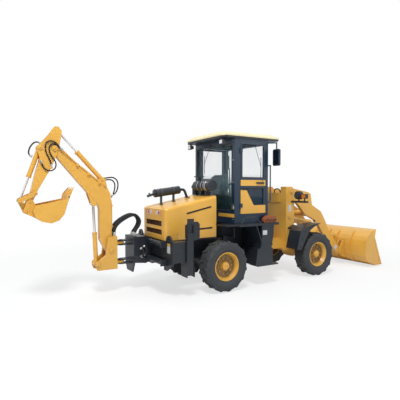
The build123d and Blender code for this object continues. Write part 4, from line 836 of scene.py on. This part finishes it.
class LOADER_OT_hoses(bpy.types.Operator):
    """Hydraulic hoses with crimped ends: circles carried along splines of order 3, on the
    digging arm, beside the carriage and between carriage and post"""

    bl_idname = "loader.hoses"
    bl_label = "Hoses"

    def execute(self, context):
        thick = fittings().hose / 2
        # name, body, y, (x, z) of each control point
        fixed_rows = (
            ("boom_top_a", "boom", RIG_Y - 0.030, (
                (-2.006, 2.070), (-1.985, 2.125), (-1.925, 2.122), (-1.860, 2.135),
                (-1.780, 2.140), (-1.706, 2.085), (-1.690, 1.990), (-1.716, 1.880),
                (-1.780, 1.815), (-1.838, 1.800))),
            ("boom_top_b", "boom", RIG_Y + 0.030, (
                (-2.006, 2.050), (-1.990, 2.092), (-1.925, 2.088), (-1.850, 2.098),
                (-1.790, 2.092), (-1.742, 2.045), (-1.730, 1.975), (-1.748, 1.880),
                (-1.790, 1.782), (-1.838, 1.755))),
        )
        for name, body, y, places in fixed_rows:
            self.hose(name, course(*[(x, y, z) for x, z in places]), thick, body)
        clip, clear = RIG_Y - 0.099, RIG_Y - 0.107   # y at the boom's clip, and past the stick
        # name, (x, z) of each control point from the boom to the stick
        crossing = (
            ("stick_a", ((-2.695, 2.602), (-2.742, 2.644), (-2.795, 2.712), (-2.880, 2.738),
                         (-2.952, 2.690), (-2.962, 2.600), (-2.940, 2.515), (-2.900, 2.435),
                         (-2.868, 2.365), (-2.869, 2.298))),
            ("stick_b", ((-2.680, 2.582), (-2.735, 2.630), (-2.798, 2.684), (-2.872, 2.674),
                         (-2.903, 2.605), (-2.890, 2.530), (-2.852, 2.460), (-2.808, 2.400),
                         (-2.788, 2.325), (-2.818, 2.250), (-2.893, 2.222), (-2.966, 2.250),
                         (-3.008, 2.318), (-3.026, 2.390))),
        )
        for name, places in crossing:
            ys = [clip, clip] + [clear] * (len(places) - 2)
            path = course(*[(x, y, z) for (x, z), y in zip(places, ys)])
            self.bend(self.hose(name, path, thick * 0.88, None), "boom", "stick",
                      spot(-2.730, RIG_Y, 2.640), spot(-2.940, RIG_Y, 2.640))
        path = course(*[(x, RIG_Y - 0.02, z) for x, z in (
            (-3.012, 2.662), (-3.050, 2.714), (-3.125, 2.694), (-3.182, 2.615),
            (-3.206, 2.535), (-3.194, 2.478), (-3.148, 2.459))])
        self.bend(self.hose("dig_port", path, thick, None), "stick", "dig_barrel",
                  spot(-3.03, RIG_Y, 2.68), spot(-3.14, RIG_Y, 2.44))
        # the bundle between post and carriage: every second hose runs 26 mm above its neighbours
        for n, shift in enumerate((-0.100, -0.060, -0.020, 0.020, 0.060, 0.100)):
            y = RIG_Y + shift
            lift = 0.026 * (n % 2)
            path = course(
                (-1.790, y, 1.060), (-1.788, y, 1.150), (-1.752, y, 1.235 + lift),
                (-1.670, y, 1.310 + lift), (-1.560, y, 1.375 + lift), (-1.440, y, 1.425 + lift),
                (-1.345, y, 1.412 + lift), (-1.288 + lift, y, 1.340), (-1.292 + lift, y, 1.250),
                (-1.345 + lift, y, 1.170), (-1.385, y, 1.100), (-1.392, y, 1.034))
            things = self.hose(f"swing_{n}", path, thick * 1.25, None, shell=1.25, flats=2.25)
            self.bend(things, "swing_post", "carriage", spot(-1.74, y, 1.25),
                      spot(-1.36, y, 1.25))
        # name, (x, y, z) of each control point beside the carriage
        hanging = (
            ("carriage_a", (
                (-1.266, 0.078, 0.842), (-1.266, 0.030, 0.850), (-1.266, -0.028, 0.826),
                (-1.266, -0.052, 0.766), (-1.266, -0.026, 0.708), (-1.266, 0.030, 0.684),
                (-1.266, 0.078, 0.694))),
            ("carriage_b", (
                (-1.323, 0.078, 0.806), (-1.323, 0.026, 0.812), (-1.321, -0.024, 0.780),
                (-1.319, -0.034, 0.720), (-1.319, -0.004, 0.668), (-1.321, 0.046, 0.652),
                (-1.323, 0.078, 0.664))),
        )
        for name, places in hanging:
            self.hose(name, course(*places), thick, "carriage", up=(1, 0, 0))
        return {"FINISHED"}

    def bend(self, pieces, first, second, start, end):
        """Bake the world placement of a hose and its ends into their meshes."""
        for thing in pieces:
            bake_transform(thing)

    def hose(self, name, path, radius, body, up=(0, 1, 0), **sizes):
        """One hose on its line and its two crimped ends, on its body where one is given."""
        hose = piece(f"hose_{name}", tube(path, radius, 14, up), "hose_rubber", body, smooth=True)
        ends = joined([fitting(path[0], path[2] - path[0], radius, **sizes),
                       fitting(path[-1], path[-3] - path[-1], radius, **sizes)])
        ends = piece(f"hose_ends_{name}", ends, "zinc", body)
        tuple(path[0])
        length_of(path)
        return hose, ends


class LOADER_OT_pipes(bpy.types.Operator):
    """Steel pipes on boom, stick, towers and arms, and the blocks that the hoses screw into"""

    bl_idname = "loader.pipes"
    bl_label = "Pipes"

    def execute(self, context):
        low, high = RIG_Y - 0.118, RIG_Y - 0.088
        ports = [brick((x - 0.022, low, z - 0.022), (x + 0.022, high, z + 0.022))
                 for x, z in ((-2.869, 2.284), (-3.030, 2.410))]
        piece("stick_ports", joined(ports), "body_yellow", "stick", bevel=0.003)
        run, wall = RIG_Y - 0.099, RIG_Y - 0.0785
        tops = [tube(course((-1.945 + shift, wall, 1.968 - shift),
                            (-2.455 + shift, wall, 2.374 - shift),
                            (-2.530 + shift, wall - 0.004, 2.438 - shift),
                            (-2.585 + shift, run, 2.494 - shift),
                            (-2.695 + shift, run, 2.602 - shift)), 0.0085)
                for shift in (0.0, 0.018)]
        clips = [brick((x - 0.020, run - 0.004, z - 0.032), (x + 0.020, RIG_Y - 0.069, z + 0.014))
                 for x, z in ((-2.060, 2.050), (-2.250, 2.201), (-2.440, 2.353))]
        piece("boom_top_pipes", joined(tops + clips), "body_yellow", "boom")
        block = brick((-1.868, RIG_Y - 0.055, 1.735), (-1.838, RIG_Y + 0.055, 1.822))
        stub = brick((-2.030, RIG_Y - 0.050, 2.005), (-1.985, RIG_Y + 0.050, 2.060))
        piece("boom_ports", joined([block, stub]), "body_yellow", "boom", bevel=0.003)
        runs = [tube(course((-1.822, y, 1.630), (-1.830, y, 1.70), (-1.845, y, 1.760)), 0.012)
                for y in (RIG_Y - 0.035, RIG_Y + 0.035)]
        piece("boom_pipes", joined(runs), "body_yellow", "boom", smooth=True)
        across_y = RIG_Y + np.linspace(-0.100, 0.100, 6)
        # name, body, x of the block's two edges, z of its foot and top, x of the ports, finish
        for name, body, (low, high), floor, top, port, colour in (
                ("post_ports", "swing_post", (-1.822, -1.758), 1.046, 1.058, -1.790,
                 "body_yellow"),
                ("carriage_ports", "carriage", (-1.432, -1.348), 1.029, 1.034, -1.392,
                 "chassis_grey")):
            corners = panel(low, high, RIG_Y - 0.130, RIG_Y + 0.130, 0.012)
            bosses = [disc(spot(port, y, top - 0.002), (0, 0, 1), 0.0185, 0.004, 32, 0.001)
                      for y in across_y]
            bolts = hex_heads([spot(x, y, top) for x in (low + 0.009, high - 0.009)
                               for y in (RIG_Y - 0.121, RIG_Y, RIG_Y + 0.121)],
                              (0, 0, 1), 0.010, 0.004)
            piece(name, joined([plate(corners, floor, top, "xy"), bolts] + bosses), colour, body)
        loop = tube(course((1.955, -0.02, 1.838), (1.948, -0.02, 1.905), (1.945, -0.115, 1.935),
                           (1.948, -0.21, 1.905), (1.955, -0.21, 1.838)), 0.013, up=(1, 0, 0))
        piece("tower_pipe", loop, "black_plastic", "front_frame", smooth=True)
        arm = tube(course(*[(x, 0.2775, z) for x, z in (
            (2.20, 1.80), (2.45, 1.72), (2.62, 1.58), (2.72, 1.44), (2.82, 1.36))]), 0.009)
        piece("arm_pipes", mirrored(arm), "body_yellow", "loader_arms", smooth=True)
        return {"FINISHED"}


class LOADER_OT_valve_block(bpy.types.Operator):
    """Valve block on the deck beside the cab, and the tank between the towers, whose face
    is domed by 45 mm * sqrt(1 - (y / 255 mm)^2)"""

    bl_idname = "loader.valve_block"
    bl_label = "Valve Block"

    def execute(self, context):
        outline = rounded([(0.905, 1.252), (1.235, 1.252), (1.255, 1.350), (1.200, 1.388),
                           (0.985, 1.388), (0.905, 1.330)], 0.035)
        ports = (0.965, 1.050, 1.135, 1.205)
        spools = [disc(spot(x, -0.835, 1.315), (0, -1, 0), 0.030, 0.022, 32, 0.004)
                  for x in ports]
        block = joined([plate(outline, -0.835, -0.775), *spools])
        piece("valve_body", block, "rust_orange", bevel=0.003)
        caps = hex_heads([spot(x, -0.857, 1.315) for x in ports], (0, -1, 0), 0.034, 0.012)
        piece("valve_caps", caps, "black_plastic", bevel=0.002)
        rows, columns = 9, 25
        across_y, up_z = np.meshgrid(np.linspace(-0.25, 0.25, columns),
                                     np.linspace(1.62, 1.835, rows))
        bulge = 0.045 * np.sqrt(np.clip(1 - (across_y / 0.255) ** 2, 0, 1))
        front = np.stack((X0 + 1.9605 - bulge, across_y, up_z), -1)
        back = front[:, ::-1] * (0, 1, 1) + (X0 + 1.966, 0, 0)
        width, last = 2 * columns, 2 * columns * rows
        faces = grid_faces(rows, width, close_columns=True)
        faces += [list(range(width - 1, -1, -1)), list(range(last - width, last))]
        tank = (np.concatenate((front, back), 1), faces)
        piece("tower_tank", tank, "body_yellow", "front_frame", bevel=0.004)
        outline = panel(-0.245, 0.245, 1.165, 1.600, 0.03)
        cover = plate(outline, 1.955, 1.961, "yz")
        rims = hex_heads([spot(1.955, y, z) for y in (-0.22, 0, 0.22) for z in (1.19, 1.575)],
                         (-1, 0, 0), 0.022, 0.008)
        piece("tank_cover", joined([cover, rims]), "body_yellow", "front_frame")
        return {"FINISHED"}


class LOADER_OT_signs(bpy.types.Operator):
    """Blank plates where such machines carry signs"""

    bl_idname = "loader.signs"
    bl_label = "Blank Signs"

    def execute(self, context):
        end, head = (panel(-0.700, -0.585, 0.800, 0.925, 0.008),
                     panel(-0.700, -0.585, 0.930, 0.970, 0.006))
        # name, outline, its two levels, plane, finish, body
        for name, outline, low, high, plane, look, body in (
                ("end_plate_sign", end, -1.107, -1.105, "yz", "blank_sign", "rear_frame"),
                ("end_plate_sign_head", head, -1.107, -1.105, "yz", "body_yellow", "rear_frame"),
                ("tower_sign", panel(2.015, 2.100, 1.415, 1.560, 0.008), -0.4115, -0.410, "xz",
                 "blank_sign", "front_frame"),
                ("step_box_sign", panel(0.830, 0.940, 1.020, 1.108, 0.008), -0.8975, -0.896,
                 "xz", "blank_sign", "rear_frame")):
            piece(name, plate(outline, low, high, plane), look, body)
        diamond = [(3.630, 0.462), (3.705, 0.537), (3.780, 0.462), (3.705, 0.387)]
        piece("arm_sign", plate(diamond, -0.366, -0.3645), "blank_sign", "loader_arms")
        return {"FINISHED"}


class LOADER_OT_bucket_trim(bpy.types.Operator):
    """Wear edge bolts on the loader bucket and bolts on the digging bucket's teeth"""

    bl_idname = "loader.bucket_trim"
    bl_label = "Bucket Trim"

    def execute(self, context):
        places = [spot(4.600, y, 0.0635) for y in np.linspace(-0.90, 0.90, 13)]
        piece("edge_bolts", hex_heads(places, (0, 0, 1), 0.030, 0.014), "cast_grey",
              "loader_bucket", bevel=0.001)
        tooth = [RIG_Y - 0.222 + n * 0.148 for n in range(4)]
        heads = [hex_heads([spot(-2.618, y + way * 0.027, 1.790)], (0, way, 0), 0.022, 0.008)
                 for y in tooth for way in (1, -1)]
        piece("tooth_bolts", joined(heads), "cast_grey", "digging_bucket")
        return {"FINISHED"}


class LOADER_OT_frame_bolts(bpy.types.Operator):
    """Bolt heads on towers, end plates, step boxes, fenders and the cab's skirt"""

    bl_idname = "loader.frame_bolts"
    bl_label = "Frame Bolts"

    def execute(self, context):
        size = fittings().bolt
        # name, body, axis, finish, places on the right side
        rows = (
            ("tower", "front_frame", (0, -1, 0), "body_yellow",
             [(x, -0.410, z) for x in (1.965, 2.165) for z in (0.86, 1.00, 1.14)]),
            ("end_plate", "rear_frame", (-1, 0, 0), "chassis_grey",
             [(-1.105, y, z) for y in (-0.48, -0.775) for z in (0.70, 0.85, 0.975)]),
            ("step_box", "rear_frame", (0, -1, 0), "chassis_grey",
             [(x, -0.896, z) for x in (0.84, 1.075) for z in (0.82, 1.17)]),
            ("fender", "front_frame", (0, -1, 0), "chassis_grey",
             [(1.880, -0.900, 0.70), (1.945, -0.900, 0.86), (2.020, -0.900, 1.010),
              (2.180, -0.900, 1.085)]),
            ("skirt", "rear_frame", (-1, 0, 0), "chassis_grey",
             [(0.260, y, z) for y in (-0.36, -0.66) for z in (1.03, 1.19)]),
        )
        for name, body, axis, look, places in rows:
            heads = hex_heads([spot(*place) for place in places], axis, size, size * 0.4)
            piece(f"bolts_{name}", mirrored(heads), look, body)
        return {"FINISHED"}


class LOADER_OT_controls(bpy.types.Operator):
    """Levers, instrument face, floor mat and steering wheel rim in the cab"""

    bl_idname = "loader.controls"
    bl_label = "Cab Controls"

    def execute(self, context):
        levers, knobs, boots = [], [], []
        # x and y of each lever, and how far its top leans forward
        for x, y, lean in ((0.78, -0.36, 0.05), (0.84, -0.36, 0.05), (0.90, -0.36, 0.06),
                           (0.44, 0.34, -0.05), (0.44, 0.42, -0.05), (0.44, -0.34, -0.05)):
            foot, top = spot(x, y, 1.318), spot(x + lean, y, 1.95)
            levers.append(tube([foot, (foot + top) / 2 + (0.012, 0, 0), top], 0.008))
            knobs.append(turned([(-0.010, 0), (-0.008, 0.014), (0.012, 0.024), (0.036, 0.024),
                                 (0.052, 0.014), (0.056, 0)], top, (0, 0, 1), 24))
            boots.append(turned([(0, 0), (0, 0.045), (0.02, 0.040), (0.03, 0.032), (0.05, 0.028),
                                 (0.06, 0.018), (0.09, 0.012), (0.09, 0)], foot, (0, 0, 1), 24))
        piece("lever_rods", joined(levers), "steel_bright", smooth=True)
        piece("lever_knobs", joined(knobs + boots), "black_plastic", smooth=True)
        corners = panel(0.325, 1.045, -0.655, 0.655, 0.040)
        mat = [plate(corners, 1.3152, 1.3182, "xy")]
        mat += [brick((x, -0.600, 1.3180), (x + 0.012, 0.600, 1.3200))
                for x in np.arange(0.370, 1.000, 0.030)]
        piece("floor_mat", joined(mat), "floor_mat")
        centre = spot(0.860, 0, 2.035)
        grip = ring(centre, (-0.100, 0, 0.720), 0.011, 0.1825, 0.0165)
        piece("wheel_grip", grip, "black_plastic", smooth=True)
        dials = [disc(spot(0.905, y, 1.905), (-0.3, 0, 1), 0.030, 0.006, 32, 0.002)
                 for y in (-0.045, 0.045)]
        piece("dials", joined(dials), "lens_clear", smooth=True)
        return {"FINISHED"}


class LOADER_OT_cushions(bpy.types.Operator):
    """Seat and back cushions, swelled by cloth pressure from a slightly smaller pad, with
    seams sunk along the normal by 8 mm * exp(-(distance to the seam's plane / 8 mm)^2)"""

    bl_idname = "loader.cushions"
    bl_label = "Seat Cushions"

    def execute(self, context):
        source = bpy.data.meshes.new("cushion_source")
        work = bmesh.new()
        work.from_mesh(NODES["seat_cushions"].data)
        bmesh.ops.remove_doubles(work, verts=work.verts, dist=1e-5)
        work.to_mesh(source)
        work.free()
        cushion = bpy.data.objects.new("seat_padding", source)
        context.scene.collection.objects.link(cushion)
        source.materials.clear()
        remesh = cushion.modifiers.new("even", "REMESH")
        remesh.mode = "VOXEL"
        remesh.voxel_size = 0.006
        shrink = cushion.modifiers.new("shrink", "DISPLACE")
        shrink.strength = -0.010                # drawn in, to swell again by most
        shrink.mid_level = 0.0
        even = self.read(context, cushion)
        cushion.modifiers.clear()
        cushion.data = even
        place = self.points_of(even.vertices, "co")
        cloth = cushion.modifiers.new("swell", "CLOTH")
        cloth.settings.use_pressure = True
        cloth.settings.uniform_pressure_force = 4.0
        cloth.settings.effector_weights.gravity = 0
        cloth.point_cache.frame_start = 1
        cloth.point_cache.frame_end = 20
        for moment in range(1, cloth.point_cache.frame_end + 1):
            context.scene.frame_set(moment)
        most = 0.014
        step = self.points_of(self.read(context, cushion).vertices, "co") - place
        far = np.linalg.norm(step, axis=1)[:, None]
        place += step * np.minimum(1, most / np.maximum(far, 1e-9))
        cushion.modifiers.clear()
        context.scene.frame_set(1)
        even.vertices.foreach_set("co", place.ravel())
        even.update()
        outward = self.points_of(even.vertex_normals, "vector")
        depth = 0.008                           # of a seam, and half its width
        pad = place[:, 2] < 1.775               # the seat; the rest is its back
        gap = np.stack((np.abs(place[:, 1]) - 0.085,
                        np.where(pad, place[:, 2] - 1.705, place[:, 2] - 1.960)))
        sunk = depth * np.exp(-(gap / depth) ** 2).max(axis=0)
        even.vertices.foreach_set("co", (place - sunk[:, None] * outward).ravel())
        even.materials.append(finish("seat_cloth"))
        even.polygons.foreach_set("use_smooth", np.ones(len(even.polygons), bool))
        finer = cushion.modifiers.new("finer", "SUBSURF")
        finer.levels = finer.render_levels = 1
        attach(cushion, "rear_frame")
        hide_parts("seat_cushions")
        return {"FINISHED"}

    def read(self, context, thing):
        """The mesh that a thing's modifiers make of it."""
        return bpy.data.meshes.new_from_object(
            thing.evaluated_get(context.evaluated_depsgraph_get()))

    def points_of(self, rows, key):
        """The named vectors of a mesh's rows, as an array."""
        values = np.empty(len(rows) * 3)
        rows.foreach_get(key, values)
        return values.reshape(-1, 3)


# ---------------------------------------------------------------- stage
class LOADER_OT_stage(bpy.types.Operator):
    """Pale floor, white surroundings, three soft lamps and the camera"""

    bl_idname = "loader.stage"
    bl_label = "Stage"

    def execute(self, context):
        scene = context.scene
        scene.view_settings.view_transform = "Standard"
        world = bpy.data.worlds.new("surroundings")
        scene.world = world
        world.use_nodes = True
        here, node = world.node_tree.nodes, builder(world.node_tree)
        back = node(here["Background"], Color=(0.86, 0.92, 1.0, 1), Strength=0.40)
        white = node("Background", Color=(1, 1, 1, 1), Strength=1.0)
        rays = node("LightPath").node.outputs
        seen = node("Math", rays["Is Camera Ray"], rays["Is Transmission Ray"],
                    operation="MAXIMUM")
        seen = node("Math", seen, rays["Is Glossy Ray"], operation="MAXIMUM")
        node(here["World Output"],
             Surface=node("MixShader", seen, back.outputs["Background"], white))

        # the floor glows for the camera, from a share of 0.66 near the machine to 1 far out
        material, surface, node = shader("studio_floor")
        place, _, shade = mottled(node, (0.93, 0.93, 0.93), 0.985, 1.01, 0.4)
        node(surface, Base_Color=shade, Roughness=0.9)
        fade = node("MapRange", From_Min=3.4, From_Max=7.5, To_Min=0.66, To_Max=1.0,
                    Value=node("VectorMath", place, operation="LENGTH"))
        share = node("Math", node("LightPath"), fade, operation="MULTIPLY")
        node(material.node_tree.nodes["Material Output"],
             Surface=node("MixShader", share, surface.outputs["BSDF"], node("Emission")))
        reach = 60.0
        corners = np.array(((-1, -1, 0), (1, -1, 0), (1, 1, 0), (-1, 1, 0))) * reach
        floor = piece("floor", (corners, [[0, 1, 2, 3]]), material, None)

        # name, place, width in metres, watts; each lamp faces the machine at half its height
        for name, place, size, power in (("key", (-5.0, -6.0, 12.5), 2.8, 1320.0),
                                         ("fill", (9.0, -8.0, 6.0), 8.0, 190.0),
                                         ("top", (-1.0, 3.0, 11.0), 9.0, 260.0)):
            light = bpy.data.lights.new(name, "AREA")
            light.size = size
            light.energy = power
            lamp = bpy.data.objects.new(name, light)
            lamp.location = place
            aim = Vector((0, 0, 1.2)) - Vector(place)
            lamp.rotation_euler = aim.to_track_quat("-Z", "Y").to_euler()
            scene.collection.objects.link(lamp)

        # the photo's camera: its place, its turn from Y to X and its rise, in degrees
        eye = bpy.data.cameras.new("eye")
        eye.lens = 32.5
        eye.sensor_width = 36.0
        eye.clip_end = 200.0
        camera = bpy.data.objects.new("eye", eye)
        camera.location = spot(-3.9276, -6.2655, 1.9296)
        yaw, pitch = np.radians((31.63, -1.80))
        gaze = Vector((np.cos(pitch) * np.sin(yaw), np.cos(pitch) * np.cos(yaw), np.sin(pitch)))
        camera.rotation_euler = gaze.to_track_quat("-Z", "Y").to_euler()
        scene.collection.objects.link(camera)
        scene.camera = camera
        return {"FINISHED"}


# ---------------------------------------------------------------- add-on
OPERATORS = (
    LOADER_OT_stage, LOADER_OT_hoses, LOADER_OT_finish_nodes, LOADER_OT_pipes,
    LOADER_OT_wheel_trim, LOADER_OT_door_trim, LOADER_OT_cab_trim, LOADER_OT_hood_trim,
    LOADER_OT_intake_trim, LOADER_OT_lamp_trim, LOADER_OT_pin_collars, LOADER_OT_valve_block,
    LOADER_OT_signs, LOADER_OT_bucket_trim, LOADER_OT_frame_bolts, LOADER_OT_controls,
    LOADER_OT_cushions,
)


class LOADER_PT_dressing(bpy.types.Panel):
    """Sidebar list of the dressing's steps"""

    bl_label = "Loader Dressing"
    bl_space_type = "VIEW_3D"
    bl_region_type = "UI"
    bl_category = "Loader"

    def draw(self, context):
        for operator in OPERATORS:
            self.layout.operator(operator.bl_idname)
        for group in (context.scene.loader_finishes, context.scene.loader_fittings):
            for name in group.bl_rna.properties.keys():
                if name not in ("rna_type", "name"):
                    self.layout.prop(group, name)


CLASSES = (LoaderFinishes, LoaderFittings, *OPERATORS, LOADER_PT_dressing)


def register():
    for item in CLASSES:
        bpy.utils.register_class(item)
    bpy.types.Scene.loader_finishes = bpy.props.PointerProperty(type=LoaderFinishes)
    bpy.types.Scene.loader_fittings = bpy.props.PointerProperty(type=LoaderFittings)


def unregister():
    del bpy.types.Scene.loader_fittings
    del bpy.types.Scene.loader_finishes
    for item in reversed(CLASSES):
        bpy.utils.unregister_class(item)


def main():
    """Register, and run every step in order."""
    register()
    for operator in OPERATORS:
        group, name = operator.bl_idname.split(".")
        getattr(getattr(bpy.ops, group), name)()


if __name__ == "__main__":
    main()
